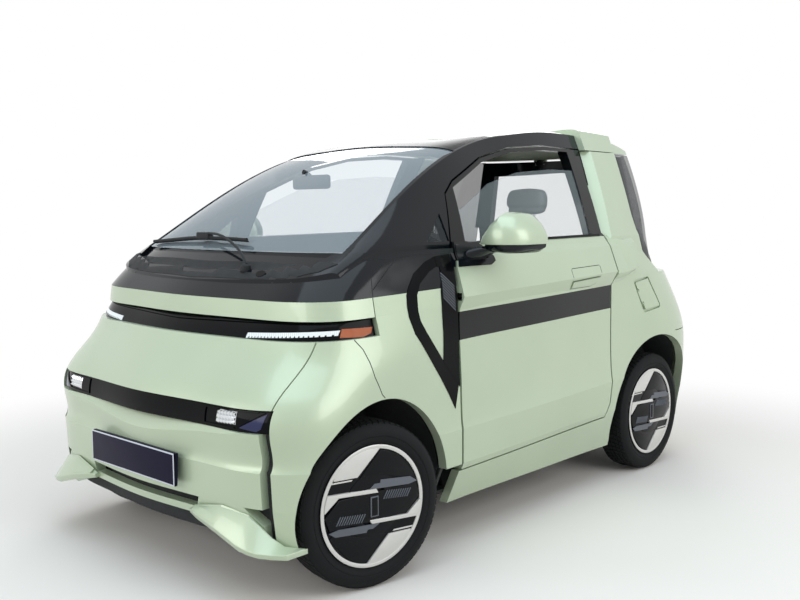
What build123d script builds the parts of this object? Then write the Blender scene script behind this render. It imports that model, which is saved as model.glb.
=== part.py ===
from build123d import *
import os
from functools import lru_cache
from math import cos, radians, sin

# Two-door electric microcar. Millimetres, +Z up, +X to the car's left, front at -Y.
# The origin lies on the ground under the middle of the body.

# ---------------------------------------------------------------- driving sizes
length = 2940
wheelbase = 1900
front_axle_y = -995
front_wheel_x = 664         # middle of the front tyre
rear_wheel_x = 630
tyre_radius = 279
tyre_width = 145
rim_radius = 204
kingpin_x = 568
kingpin_radius = 17
rail_x = 335                # outer face of the front rails
rail_rear_y = 1440
steer_rest = -10.4          # stored steering angle, towards the car's right
front_arch = 334            # wheel arch radii
rear_arch = 356
wall = 36                   # body wall
door_wall = 66              # whole door
pane = 5
pane_inset = 4              # pane below the painted surface
gap = 4                     # shut lines between fixed panels
door_gap = 6                # shut lines round what opens
hinge_gap = 10              # ahead of the doors, whose front edges swing forward a little
side_bulge = 9              # crown of the side glass
seat_fit = 0.2              # pieces seated on the inside of the shell

# Heights at the nose of the bands that cross the front.
bumper_bottom = 262
bumper_top = 562
hood_bottom = 634
hood_top = 822
strip_top = 882
sill_top = 320
belt_z = 1120

rear_axle_y = front_axle_y + wheelbase
front_y = -length / 2
rear_y = length / 2
axle_z = tyre_radius
arch_z = axle_z + 17

steering_plane = Plane(origin=(320, -280, 980), x_dir=(1, 0, 0),
                       z_dir=(0, cos(radians(25)), sin(radians(25))))
column_gap = 60             # steering wheel to the mouth of its column
column = Plane(origin=steering_plane.origin - steering_plane.z_dir * column_gap, x_dir=(1, 0, 0),
               z_dir=-steering_plane.z_dir)

# Each level is half a plan view of the body, from the nose centre round to the tail
# centre: its height at the nose, its climb per millimetre of length, and its points.
levels = (
    (170, 0.000, ((0, -1430), (360, -1408), (618, -1362), (712, -1288), (716, -995), (668, -620),
                  (662, 0), (662, 520), (690, 905), (640, 1260), (400, 1385), (0, 1405))),
    (320, 0.012, ((0, -1450), (360, -1426), (622, -1380), (720, -1300), (744, -995), (738, -640),
                  (722, 0), (708, 520), (724, 905), (668, 1265), (400, 1430), (0, 1458))),
    (440, 0.020, ((0, -1456), (360, -1431), (624, -1386), (722, -1302), (748, -995), (738, -640),
                  (736, 0), (722, 520), (736, 905), (672, 1275), (400, 1442), (0, 1466))),
    (540, 0.020, ((0, -1456), (360, -1431), (622, -1386), (720, -1300), (748, -995), (732, -640),
                  (720, 0), (712, 520), (738, 905), (672, 1275), (400, 1444), (0, 1470))),
    (634, 0.020, ((0, -1444), (360, -1420), (616, -1374), (710, -1286), (748, -995), (730, -640),
                  (716, 0), (709, 520), (736, 905), (668, 1262), (400, 1432), (0, 1460))),
    (720, 0.022, ((0, -1384), (360, -1361), (606, -1304), (694, -1218), (745, -995), (727, -640),
                  (714, 0), (708, 520), (728, 900), (656, 1225), (400, 1385), (0, 1416))),
    (800, 0.026, ((0, -1322), (360, -1298), (596, -1242), (682, -1166), (728, -990), (722, -640),
                  (716, 0), (707, 520), (712, 890), (640, 1178), (400, 1322), (0, 1356))),
    (882, 0.030, ((0, -1262), (360, -1238), (592, -1192), (674, -1122), (704, -985), (717, -640),
                  (718, 0), (706, 520), (694, 880), (620, 1130), (400, 1262), (0, 1300))),
    (942, 0.035, ((0, -1256), (360, -1232), (588, -1186), (666, -1114), (692, -985), (711, -640),
                  (712, 0), (700, 520), (668, 880), (600, 1110), (400, 1240), (0, 1285))),
    (1040, 0.025, ((0, -1165), (360, -1138), (572, -1085), (642, -1010), (668, -880), (690, -640),
                   (690, 0), (684, 520), (650, 850), (585, 1085), (400, 1215), (0, 1275))),
    (1120, 0.010, ((0, -1080), (360, -1055), (552, -985), (620, -895), (646, -790), (664, -620),
                   (662, 0), (658, 520), (632, 830), (570, 1070), (400, 1195), (0, 1262))),
)
creases = (1, 2, 7, 8)      # levels that keep a crease along the side

# The upper body is trimmed to these two plans, low and high.
crown = (
    (800, 0, ((0, -1212), (360, -1184), (576, -1124), (656, -1030), (720, -800), (780, -400),
              (780, 0), (760, 520), (690, 850), (604, 1095), (400, 1228), (0, 1292))),
    (1650, 0, ((0, -1212), (360, -1184), (576, -1124), (656, -1030), (720, -800), (780, -400),
               (780, 0), (740, 520), (610, 800), (500, 985), (330, 1090), (0, 1135))),
)

# Half sections across the upper body:
# y, height at the middle of the roof, rail corner x and height, half width at the belt.
sections = (
    (-1240, 985, 560, 925, 590),
    (-1110, 1092, 602, 1035, 625),
    (-960, 1210, 592, 1130, 640),
    (-800, 1318, 570, 1232, 650),
    (-600, 1425, 541, 1350, 657),
    (-400, 1494, 512, 1444, 662),
    (-190, 1533, 482, 1512, 665),
    (10, 1553, 470, 1550, 666),
    (200, 1565, 464, 1573, 664),
    (400, 1575, 460, 1584, 662),
    (600, 1583, 460, 1580, 658),
    (800, 1585, 462, 1572, 645),
    (980, 1572, 462, 1546, 625),
    (1130, 1540, 458, 1500, 600),
    (1330, 1480, 450, 1430, 575),
)

# Side views, (y, z).
door_front = -568
header_y = -330             # top edge of the windscreen
nose_end = -985             # the nose band and light strip end here along the side
fender_front_x = 638        # front edge of the fender, beside the duct
bumper_edge_x = 606
tail_seam_y = 1060
rear_gap = 9                # door to hoop, wider because the door swings back a little
tail_gap = 8
door_axis_x, door_axis_y = 718, -512
door_hinges = (440, 934)    # heights of the two hinges of a door
window_drop = 84            # the door glass is wound down this far
hinge_y, hinge_z = 1158, 1508   # tailgate hinge line
tow_x, tow_y, tow_z = 300, -1368, 304     # towing eye socket, reached through the intake slot
tow_way_radius = 32           # hole in the insert that the towing eye and its ring pass through
frame_wall = 34             # door frame round the window
hoop_proud = 22             # the painted hoop stands proud of the dark door frame
door_rear_edge = ((556, 1512), (520, 1352), (499, 1120), (498, 382), (468, 324))
rail_line = ((-484, 1302), (-420, 1350), (-200, 1446), (20, 1496), (270, 1516))
window_line = ((-430, 1328), (-200, 1430), (20, 1480), (270, 1500), (452, 1500))
pillar_line = ((838, 1580), (832, 1530), (815, 1385), (798, 1217), (806, 1150), (855, 1052), (975, 950))


# ---------------------------------------------------------------- body volumes
def inward(points, inset):
    """Points of a half outline moved inward, square to the line through their neighbours."""
    moved = []
    for i, (x, y) in enumerate(points):
        before = points[i - 1] if i else (-points[1][0], points[1][1])
        after = points[i + 1] if i + 1 < len(points) else (-points[-2][0], points[-2][1])
        run = Vector(after[0] - before[0], after[1] - before[1]).normalized()
        moved.append((x - run.Y * inset, y + run.X * inset))
    return moved


def half_plan(level, inset=0):
    """Half a plan view of the body on its tilted level."""
    z, climb, points = level
    tilt = Plane(origin=(0, 0, z - climb * front_y), x_dir=(1, 0, 0), z_dir=(0, -climb, 1))
    with BuildSketch(tilt) as plan:
        with BuildLine():
            side = Spline(*inward(points, inset), tangents=((1, 0), (-1, 0)))
            Line(side @ 1, side @ 0)
        make_face()
    return plan.sketch


def half_section(station, inset, low):
    """Half a section across the upper body, from the middle of the roof down to low."""
    y, centre, rail_x, rail_z, belt = station
    with BuildSketch(Plane(origin=(0, y, 0), x_dir=(1, 0, 0), z_dir=(0, -1, 0))) as section:
        with BuildLine():
            roof = Spline((0, centre - inset),
                          ((rail_x - inset) * 0.6, centre * 0.72 + rail_z * 0.28 - inset),
                          (rail_x - inset, rail_z - inset), tangents=((1, 0), (1, -0.35)))
            waist = Vector(belt - inset, min(belt_z, rail_z - 40) - inset * 0.2)
            middle = (roof @ 1 + waist) / 2
            ThreePointArc(roof @ 1, (middle.X + side_bulge, middle.Y), waist)
            Line(waist, (belt + 14 - inset, low))
            Line((belt + 14 - inset, low), (0, low))
            Line((0, low), roof @ 0)
        make_face()
    return section.sketch


@lru_cache(None)
def lower_body(inset=0):
    """Left half of the body up to the belt, drawn inside the skin by inset."""
    stops = (0, *creases, len(levels) - 1)
    with BuildPart() as body:
        for a, b in zip(stops, stops[1:]):
            loft(sections=[half_plan(level, inset) for level in levels[a:b + 1]])
    return body.part


@lru_cache(None)
def upper_body(inset=0, low=800):
    """Left half of the glasshouse and roof, with its corners rounded in plan."""
    with BuildPart() as body:
        loft(sections=[half_section(station, inset, low) for station in sections])
        with BuildPart(mode=Mode.PRIVATE) as trim:
            loft(sections=[half_plan(level, inset) for level in crown])
        add(trim.part, mode=Mode.INTERSECT)
    return body.part


def over(z, climb=0.0):
    """Everything above a plane that has height z at the nose and climbs to the rear."""
    tilt = Plane(origin=(0, 0, z - climb * front_y), x_dir=(1, 0, 0), z_dir=(0, -climb, 1))
    with BuildPart() as block:
        with BuildSketch(tilt):
            Rectangle(3000, 4000)
        extrude(amount=2000)
    return block.part


def prism(plane, points, amount, corner=0):
    """An outline drawn on a plane and carried along its normal, with its corners rounded."""
    with BuildPart() as block:
        with BuildSketch(plane) as outline:
            with BuildLine():
                Polyline(*points, close=True)
            make_face()
            if corner:
                fillet(outline.vertices(), corner)
        extrude(amount=amount)
    return block.part


def side_prism(points, near=200, far=900, corner=0):
    """A side view (y, z) carried across from near to far on the left."""
    return prism(Plane.YZ.offset(near), points, far - near, corner)


def plan_prism(points, low=0, high=1800):
    """A plan view (x, y) carried up from low to high."""
    return prism(Plane.XY.offset(low), points, high - low)


def end_prism(points, near, far):
    """An end view (x, z) carried back from near to far."""
    return prism(Plane.XZ.offset(-far), points, far - near)


def piece(start, within=(), without=(), plus=(), pair=True):
    """Cut a panel from a volume: kept within some regions, outside others, then mirrored."""
    with BuildPart() as cut:
        add(start)
        for region in within:
            add(region, mode=Mode.INTERSECT)
        for region in without:
            add(region, mode=Mode.SUBTRACT)
        for extra in plus:
            add(extra)
        if pair:
            mirror(about=Plane.YZ)
    return cut.part


def finish(part, name):
    """Label a finished piece and write it."""
    part.label = name
    export_step(part, f"parts/{name}.step")


os.makedirs("parts", exist_ok=True)

# ---------------------------------------------------------------- shells, left half
with BuildPart() as shoulder:
    for y, ledge, crest, sill, belt in (
            (door_front - hinge_gap, (717, 882), (742, 934), (702, 1066), (662, 1120)),
            (498, (708, 912), (742, 972), (700, 1082), (660, 1136)),
            (735, (690, 928), (730, 988), (692, 1094), (650, 1140))):
        with BuildSketch(Plane(origin=(0, y, 0), x_dir=(1, 0, 0), z_dir=(0, -1, 0))):
            with BuildLine():
                Polyline((620, ledge[1]), ledge, crest, sill, belt, (620, belt[1]), close=True)
            make_face()
    loft(ruled=True)
    add(side_prism(((590, 860), (590, 914), (732, 1000), (732, 1160), (760, 1160), (760, 860))),
        mode=Mode.SUBTRACT)

low_skin = lower_body()
high_skin = upper_body()
core = piece(lower_body(wall), plus=(upper_body(wall),), pair=False)
low_wall = piece(low_skin, without=(lower_body(wall),), pair=False)
skin = piece(low_skin, plus=(high_skin, shoulder.part), pair=False)
shell = piece(skin, without=(core,), pair=False)
door_core = piece(lower_body(door_wall), plus=(upper_body(frame_wall),), pair=False)
hoop_skin = upper_body(-hoop_proud)
glazing = piece(upper_body(pane_inset), without=(upper_body(pane_inset + pane),), pair=False)


def layer(outer, inner):
    """Left half of a skin of the lower body between two insets."""
    return piece(lower_body(outer), without=(lower_body(inner),), pair=False)


# ---------------------------------------------------------------- cutting volumes, left half
over_frame_foot = over(1098, 0.010)
over_band = over(942, 0.035)
over_strip = over(strip_top, 0.030)
over_hood = over(hood_top, 0.030)
over_grille = over(hood_bottom, 0.020)
over_bumper = over(bumper_top, 0.020)
roof_seam = over(1512)
under_body = piece(over(-1800), without=(over(206),), pair=False)

with BuildPart() as arch_cut:
    for y, radius in ((front_axle_y, front_arch), (rear_axle_y, rear_arch)):
        with BuildSketch(Plane.YZ.offset(300)):
            with Locations((y, arch_z)):
                Circle(radius)
            with Locations((y, arch_z - 200)):
                Rectangle(2 * radius - 30, 400)
        extrude(amount=600)
arches = arch_cut.part

door_outline = ((door_front, 306), (door_front, 1040), *rail_line, *door_rear_edge)
door_grown = ((door_front - hinge_gap, 300), (door_front - hinge_gap, 1041),
              *((y - door_gap / 2, z + door_gap) for y, z in rail_line),
              *((y + rear_gap, z + (door_gap if z > 1500 else 0)) for y, z in door_rear_edge[:-1]),
              (472, 318))
front_seam = ((door_front - hinge_gap, 100), *door_grown[1:3])
window_outline = ((-462, 1126), *window_line, (405, 1134))
door_hole = side_prism(door_grown, 300)
ahead_of_door = side_prism((*front_seam, (-300, 1700), (-1600, 1700), (-1600, 100)), 0)
hoop_line = tuple((y + rear_gap, z) for y, z in reversed(door_rear_edge[:3]))
hoop_block = side_prism(((hoop_line[0][0], 1000), *hoop_line, (590, 1700), (860, 1700), *pillar_line,
                         (975, 900), (560, 900)), 0)
behind_pillar = side_prism(((1800, 1800), (838, 1800), *pillar_line, (975, 900), (1800, 900)), -1)
glass_region = plan_prism(((-1, -1300), *((x - 14, y) for y, _, x, _, _ in sections[:6]),
                           (498, header_y), (-1, header_y)), low=900)
roof_region = plan_prism(((-1, header_y), (490, header_y), *((x - 10, y) for y, _, x, _, _ in sections[6:11]),
                          (-1, 600)), low=1200)
rear_corner = plan_prism(((-1, tail_seam_y), (900, tail_seam_y), (900, 1700), (-1, 1700)))


def tail_outline(grow=0):
    """Rear view of the tailgate, grown by its shut gap."""
    return ((-1, 1504 + grow), (418 + grow, 1504 + grow), (505 + grow, 1110), (540 + grow, 960),
            (536 + grow, 668 - grow), (-1, 668 - grow))


tail_block = end_prism(tail_outline(), 900, 1700)
tail_hole = end_prism(tail_outline(tail_gap), 900, 1700)

nose_plan = ((-1, -1600), (900, -1600), (900, nose_end), (500, nose_end), (400, -1080), (-1, -1080))
hood_plan = ((-1, -1600), (630, -1600), (630, -1370), (646, -1190), (640, -1060), (560, -1000), (-1, -1000))
nose_region = plan_prism(nose_plan)
nose_hole = plan_prism(((-1, -1600), (900, -1600), (900, nose_end + gap), (400, nose_end + gap), (-1, -1000)))
hood_region = plan_prism(hood_plan)
hood_hole = plan_prism(tuple((x + (gap if x > 0 else 0), y) for x, y in hood_plan))
front_region = plan_prism(((-1, -1600), (fender_front_x, -1600), (fender_front_x, -1200), (-1, -1200)))
bumper_region = plan_prism(((-1, -1600), (bumper_edge_x, -1600), (bumper_edge_x, -1300), (-1, -1300)))
beside_bumper = plan_prism(((bumper_edge_x + gap, -1600), (700, -1600), (700, -1200),
                            (bumper_edge_x + gap, -1200)))

# ---------------------------------------------------------------- front panels
nose_hole_cut = piece(nose_hole, within=(over_hood,), pair=False)
hood_hole_cut = piece(hood_hole, within=(over_grille,), pair=False)
fascia_cut = piece(front_region, without=(over_grille,), pair=False)
fender_foot = side_prism(((-720, 100), (-720, sill_top + 6), (-500, sill_top + 9), (-500, 100)))
over_lip_end = end_prism(((600, 100), (600, 274), (636, 244), (644, 206), (900, 206), (900, 100)), -1600, -1250)
finish(piece(low_wall, within=(ahead_of_door,),
             without=(over_band, arches, nose_hole_cut, hood_hole_cut, fascia_cut, fender_foot, under_body,
                      over_lip_end)),
       "front_fenders")
finish(piece(low_wall, within=(hood_region, over_grille), without=(over_hood,)), "hood")
finish(piece(low_wall, within=(nose_region, over_strip), without=(over_band,)), "nose_band")
finish(piece(layer(16, wall), within=(nose_region, over_hood), without=(over_strip,)), "light_strip")
finish(piece(layer(12, wall), within=(front_region, over_bumper), without=(over_grille,)), "grille_band")

slot = end_prism(((-1, 286), (318, 286), (330, 322), (-1, 322)), -1600, -1300)
corner_opening = end_prism(((540, 326), (700, 326), (700, 180), (650, 180), (650, 236)), -1600, -1200)
under_bumper = end_prism(((-1, bumper_bottom), (330, bumper_bottom), (520, 200), (900, 200), (900, 0),
                          (-1, 0)), -1600, -1200)
chamfer_cut = side_prism(((-1480, 505), (-1454, 505), (-1408, 580), (-1480, 580)), -1)
with BuildPart() as lip:
    for x, upper, nose, toe, heel in ((322, (-1436, 296), (-1452, 284), (-1444, 266), (-1400, 264)),
                                      (450, (-1424, 320), (-1456, 262), (-1448, 238), (-1390, 236)),
                                      (560, (-1402, 304), (-1452, 222), (-1444, 202), (-1372, 202)),
                                      (632, (-1370, 240), (-1430, 208), (-1422, 192), (-1330, 192))):
        with BuildSketch(Plane.YZ.offset(x)):
            with BuildLine():
                Polyline(upper, nose, toe, heel, close=True)
            make_face()
    loft(ruled=True)
    for x, front, back in ((632, -1430, -1330), (704, -1372, -1290)):
        with BuildSketch(Plane.YZ.offset(x)):
            with BuildLine():
                Polyline((back, 202), (front, 202), (front + 6, 188), (back, 188), close=True)
            make_face()
    loft(ruled=True)
finish(piece(low_wall, within=(bumper_region,),
             without=(over_bumper, slot, corner_opening, under_bumper, chamfer_cut), plus=(lip.part,)),
       "front_bumper")
tow_way = Pos(tow_x, -1400, tow_z) * Rot(X=-90) * Cylinder(tow_way_radius, 200)
duct = piece(layer(22, wall + 12), within=(front_region, beside_bumper), pair=False)
finish(piece(layer(wall + seat_fit, wall + 12), within=(front_region,),
             without=(over_bumper, under_body, tow_way, lip.part),
             plus=(piece(duct, without=(over_bumper, under_body, lip.part), pair=False),)), "front_insert")

# ---------------------------------------------------------------- cowl, glass and roof
recess = piece(plan_prism(((-1, -1176), (360, -1150), (530, -1090), (566, -1010), (560, -900), (-1, -900)),
                          900, 1300),
               without=(upper_body(14),), pair=False)
finish(piece(shell, within=(ahead_of_door, over_band), without=(over_frame_foot, recess)), "cowl_panel")
finish(piece(glazing, within=(glass_region, over_frame_foot)), "windscreen")

hoop_face = Plane(origin=(636, hoop_line[0][0], belt_z), x_dir=(-172, 57, 388), z_dir=(272, -388, 177))
with BuildPart() as hoop_chamfer:
    with BuildSketch(hoop_face):
        Rectangle(1400, 400)
    extrude(amount=80)
hoop_top = piece(hoop_skin, within=(hoop_block, roof_seam), without=(upper_body(wall),), pair=False)
ahead_of_hoop = plan_prism(((-1, -1600), (900, -1600), (900, 640), (-1, 640)))
roof_rear = piece(shell, within=(roof_seam,), without=(hoop_block, ahead_of_hoop), pair=False)
with BuildPart() as roof_panel:
    add(piece(shell, within=(roof_region,), without=(door_hole, hoop_block), plus=(hoop_top, roof_rear),
              pair=False))
    with Locations((120, hinge_y, hinge_z + 4)):
        Box(56, 40, 28, mode=Mode.SUBTRACT)
    with Locations((86, hinge_y - 4, hinge_z + 7), (154, hinge_y - 4, hinge_z + 7)):
        Box(12, 12, 26)
    with Locations(Pos(120, hinge_y, hinge_z) * Rot(Y=90)):
        Cylinder(4.5, 80)
    mirror(about=Plane.YZ)
finish(roof_panel.part, "roof_panel")

ahead_of_pillar = side_prism(((-1400, 900), (-1400, 1800), (590, 1800), (590, 900)), -1)
behind_door = side_prism(((500, 1000), (500, 1124), (620, 1124), (620, 1000)))
quarter_window = ((-664, 1132), (-556, 1232), (-548, 1132))
finish(piece(piece(high_skin, without=(core,), pair=False), within=(over_frame_foot, ahead_of_pillar),
             without=(glass_region, roof_region, hoop_block, door_hole, side_prism(quarter_window),
                      behind_door)),
       "glasshouse_frame")

# ---------------------------------------------------------------- body sides
over_belt = over(1116, 0.008)
over_tail_side = over(946)
over_rear_bumper = over(660)
bumper_corner = piece(rear_corner, without=(over_rear_bumper,), pair=False)
rear_quarter = piece(shell, within=(behind_pillar,), without=(over_tail_side, bumper_corner), pair=False)
pillar = piece(hoop_skin, within=(hoop_block,),
               without=(core, over(1512 - gap), door_hole, hoop_chamfer.part), pair=False)
side = piece(shell, without=(ahead_of_door, door_hole, over_belt, behind_pillar, bumper_corner),
             plus=(pillar, rear_quarter), pair=False)
side = piece(side, without=(arches, tail_hole), pair=False)
flap_outline = ((712, 914), (852, 930), (934, 782), (786, 772))
flap_pocket = ((704, 920), (852, 930), (934, 782), (779, 765))
flap_hinge = Plane(origin=(710, 758, 838), x_dir=(1, 0, 0), z_dir=(0.119, 0.476, -0.871))
flap_hole = piece(side_prism(flap_pocket, 600, 900, corner=14), without=(lower_body(12),), pair=False)
with BuildPart() as body_sides:
    add(side)
    mirror(about=Plane.YZ)
    add(flap_hole, mode=Mode.SUBTRACT)
    with Locations(flap_hinge):
        with Locations((-5, 0, 34), (-5, 0, -34)):
            Box(18, 7, 8)
        Cylinder(2.2, 90, mode=Mode.SUBTRACT)
finish(body_sides.part, "body_sides")

# ---------------------------------------------------------------- charge flap
with BuildPart() as charge_flap:
    add(low_skin)
    add(lower_body(10), mode=Mode.SUBTRACT)
    add(side_prism(flap_outline, 600, 900, corner=24), mode=Mode.INTERSECT)
    with BuildSketch(Plane.YZ.offset(600)):
        with BuildLine():
            Polyline((724, 907), (846, 921), (922, 789), (794, 780), close=True)
        make_face()
    extrude(amount=300, mode=Mode.INTERSECT)
    with Locations(flap_hinge):
        with Locations((0, -2, 34), (0, -2, -34)):
            Box(40, 14, 12, mode=Mode.SUBTRACT)
        with Locations((0, -4, 0)):
            Box(7, 8, 56)
        Cylinder(3.5, 56)
        Cylinder(2, 76)
finish(charge_flap.part, "charge_flap")

# ---------------------------------------------------------------- tail
tail_window = end_prism(((-1, 1440), (372, 1430), (432, 1130), (445, 1040), (-1, 1040)), 900, 1700)
strip_slot = piece(end_prism(((-1, 905), (520, 905), (528, 868), (-1, 868)), 900, 1700),
                   without=(lower_body(4),), pair=False)
knuckle_way = Pos(120, hinge_y, hinge_z) * Box(92, 60, 40)
tail_half = piece(shell, within=(tail_block,), without=(tail_window, strip_slot, knuckle_way), pair=False)
with BuildPart() as tailgate:
    add(tail_half)
    with BuildSketch(Plane.YZ.offset(97)):
        with BuildLine():
            Polyline((hinge_y - 16, 1478), (hinge_y + 8, 1478), (hinge_y + 8, hinge_z),
                     (hinge_y - 8, hinge_z),
                     close=True)
        make_face()
        with Locations((hinge_y, hinge_z)):
            Circle(8)
    extrude(amount=46)
    with Locations(Pos(120, hinge_y, hinge_z) * Rot(Y=90)):
        Cylinder(4.9, 60, mode=Mode.SUBTRACT)
    mirror(about=Plane.YZ)
finish(tailgate.part, "tailgate")
finish(piece(glazing, within=(tail_window, rear_corner)), "tailgate_glass")
finish(piece(layer(-3, 4),
             within=(end_prism(((-1, 905), (520, 905), (528, 868), (-1, 868)), 900, 1700), rear_corner)),
       "tail_light")
plate_bay = end_prism(((-1, 560), (272, 560), (272, 434), (-1, 434)), 1440, 1700)
finish(piece(low_wall, within=(rear_corner,), without=(over(656), under_body, arches, plate_bay)),
       "rear_bumper")
tail_side = end_prism(tail_outline(tail_gap), 880, 1700)
rear_pane = piece(high_skin, within=(behind_pillar, over(950)), without=(upper_body(12), over(1508), tail_side),
                  pair=False)
finish(piece(rear_pane, plus=(piece(glazing, within=(side_prism(quarter_window),), pair=False),)),
       "side_glass")

# ---------------------------------------------------------------- doors, each with its mirror and glass
with BuildPart() as hinge_room:
    for z in door_hinges:
        with Locations(Pos(665, door_axis_y - 30, z)):
            Box(130, 84, 28)
        with Locations(Pos(door_axis_x, door_axis_y, z)):
            Cylinder(6.5, 56)
door_left = piece(skin, within=(side_prism(door_outline, 330),),
                  without=(door_core, side_prism(window_outline), hinge_room.part), pair=False)
finish(door_left, "door_left")
finish(mirror(door_left, about=Plane.YZ), "door_right")
lowered = side_prism(((-520, 1100), (-520, 1250), *((y, z - window_drop) for y, z in window_line),
                      (520, 1416), (520, 1100)))
door_glass = piece(glazing, within=(side_prism(window_outline), lowered), pair=False)
finish(door_glass, "door_glass_left")
finish(mirror(door_glass, about=Plane.YZ), "door_glass_right")
with BuildPart() as mirror_left:
    for y, shrink, height in ((-470, 34, 104), (-400, 0, 140), (-312, 6, 128)):
        with BuildSketch(Plane(origin=(804, y, 1160), x_dir=(1, 0, 0), z_dir=(0, -1, 0))):
            RectangleRounded(190 - 2 * shrink, height - shrink, 34)
    loft()
    with BuildSketch(Plane.XY.offset(1072)):
        with Locations((715, -385)):
            Rectangle(90, 60)
    extrude(amount=52)
    add(skin, mode=Mode.SUBTRACT)
finish(mirror_left.part, "mirror_left")
finish(mirror(mirror_left.part, about=Plane.YZ), "mirror_right")

# ---------------------------------------------------------------- number plates
with BuildPart() as number_plates:
    with Locations((0, rear_y - 40, 497)):
        Box(520, 36, 110)
    with Locations((0, front_y + 25, 405)):
        Box(440, 30, 70)
    with Locations(Pos(0, front_y + 8, 405) * Rot(X=-3)):
        Box(520, 10, 110)
    split(bisect_by=Plane.YZ)
    add(lower_body(-seat_fit), mode=Mode.SUBTRACT)
    mirror(about=Plane.YZ)
finish(number_plates.part, "number_plates")

# ---------------------------------------------------------------- frame and floor
cabin = piece(lower_body(wall + seat_fit), plus=(upper_body(wall + seat_fit),), pair=False)
behind_insert = lower_body(wall + 12 + seat_fit)
with BuildPart() as chassis_frame:
    with Locations((350, -55, 214)):
        Box(720, 1190, 16)
    with Locations((350, -642, 493)):
        Box(720, 16, 574)
    with Locations((350, 532, 360)):
        Box(720, 16, 308)
    with Locations((250, 950, 507)):
        Box(499.6, 980, 14)
    with Locations((355, (rail_rear_y + 530) / 2, 365)):
        Box(50, rail_rear_y - 530, 70)
    with Locations((190, 820, 415), (190, 980, 415)):
        Box(380, 40, 30)
    with Locations((470, -862, 708)):
        Box(340, 456, 16)
    add(cabin, mode=Mode.INTERSECT)
    with BuildSketch(Plane.XY.offset(214)):
        with Locations((591, -597)):
            Rectangle(42, 106)
    extrude(amount=786)
    for z in door_hinges:
        with BuildSketch(Plane.XY.offset(z - 6)):
            with Locations((door_axis_x - 60, door_axis_y - 28)):
                SlotCenterToCenter(132, 18, rotation=25)
        extrude(amount=12)
        with Locations((door_axis_x, door_axis_y, z)):
            Cylinder(6, 52)
    with Locations((rail_x - 25, (tow_y - 640) / 2, 300)):
        Box(50, -640 - tow_y, 60)
    with Locations(Pos(tow_x, tow_y, tow_z) * Rot(X=-90)):
        Cylinder(9, 45, align=(Align.CENTER, Align.CENTER, Align.MIN), mode=Mode.SUBTRACT)
    mirror(about=Plane.YZ)
finish(chassis_frame.part, "chassis_frame")

# ---------------------------------------------------------------- arch liners
with BuildPart() as arch_liners:
    for y, radius, inner_x, low_z in ((front_axle_y, front_arch + 4, 380, 440),
                                      (rear_axle_y, rear_arch + 4, 500, 340)):
        with BuildSketch(Plane.YZ.offset(inner_x)):
            with Locations((y, arch_z)):
                Circle(radius + 5)
                Circle(radius, mode=Mode.SUBTRACT)
            with Locations((y, 206 - 300)):
                Rectangle(1000, 600, mode=Mode.SUBTRACT)
        extrude(amount=400)
        with BuildSketch(Plane.YZ.offset(inner_x)):
            with Locations((y, arch_z)):
                Circle(radius + 5)
            with Locations((y, low_z - 300)):
                Rectangle(1000, 600, mode=Mode.SUBTRACT)
        extrude(amount=6)
    add(cabin, mode=Mode.INTERSECT)
    add(behind_insert, mode=Mode.INTERSECT)
    with Locations(Pos(kingpin_x, front_axle_y, 620)):
        Cylinder(kingpin_radius + 8, 80, mode=Mode.SUBTRACT)
    mirror(about=Plane.YZ)
finish(arch_liners.part, "arch_liners")

# ---------------------------------------------------------------- drive, battery and axles
with BuildPart() as battery_pack:
    with BuildSketch(Plane.XY.offset(222 + seat_fit)):
        with Locations((0, 142)):
            RectangleRounded(1080, 756, 20)
    extrude(amount=208)
finish(battery_pack.part, "battery_pack")

with BuildPart() as drive_motor:
    with BuildSketch(Plane.XY.offset(210)):
        with Locations((0, rear_axle_y)):
            RectangleRounded(300, 230, 30)
    extrude(amount=190 - seat_fit)
finish(drive_motor.part, "drive_motor")

with BuildPart() as rear_axle:
    with Locations(Pos(150 + seat_fit, rear_axle_y, axle_z) * Rot(Y=90)):
        Cylinder(26, 350, align=(Align.CENTER, Align.CENTER, Align.MIN))
        Cylinder(16, rear_wheel_x - 150 + 24, align=(Align.CENTER, Align.CENTER, Align.MIN))
    with BuildSketch(Plane.YZ.offset(380 + seat_fit)):
        with BuildLine():
            Polyline((590, 396), (640, 396), (650, 330), (905, 308), (930, 279), (905, 252), (640, 284),
                     (590, 330), close=True)
        make_face()
    extrude(amount=44)
    mirror(about=Plane.YZ)
finish(rear_axle.part, "rear_axle")

with BuildPart() as front_suspension:
    with BuildSketch(Plane.XY.offset(262)):
        with BuildLine():
            Polyline((rail_x + seat_fit, front_axle_y - 90), (rail_x + 20, front_axle_y - 90),
                     (kingpin_x - 40, front_axle_y - 16), (kingpin_x - 40, front_axle_y + 16),
                     (rail_x + 20, front_axle_y + 90), (rail_x + seat_fit, front_axle_y + 90), close=True)
        make_face()
    extrude(amount=24)
    with BuildSketch(Plane.XZ.offset(-front_axle_y - 16)):
        with BuildLine():
            Polyline((kingpin_x - 60, 286), (kingpin_x - 60, 262), (kingpin_x - 30, 212),
                     (kingpin_x + kingpin_radius, 212), (kingpin_x + kingpin_radius, 234 - seat_fit),
                     (kingpin_x - 24, 234 - seat_fit), (kingpin_x - 40, 286), close=True)
        make_face()
    extrude(amount=32)
    with Locations((kingpin_x, front_axle_y, 420 + seat_fit)):
        Cylinder(kingpin_radius, 280 - 2 * seat_fit, align=(Align.CENTER, Align.CENTER, Align.MIN))
    mirror(about=Plane.YZ)
finish(front_suspension.part, "front_suspension")


def steered(part, side):
    """Turn a front-wheel part by the stored steering angle about its kingpin."""
    pivot = Pos(side * kingpin_x, front_axle_y, 0)
    return pivot * Rot(Z=steer_rest) * pivot.inverse() * part


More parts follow.
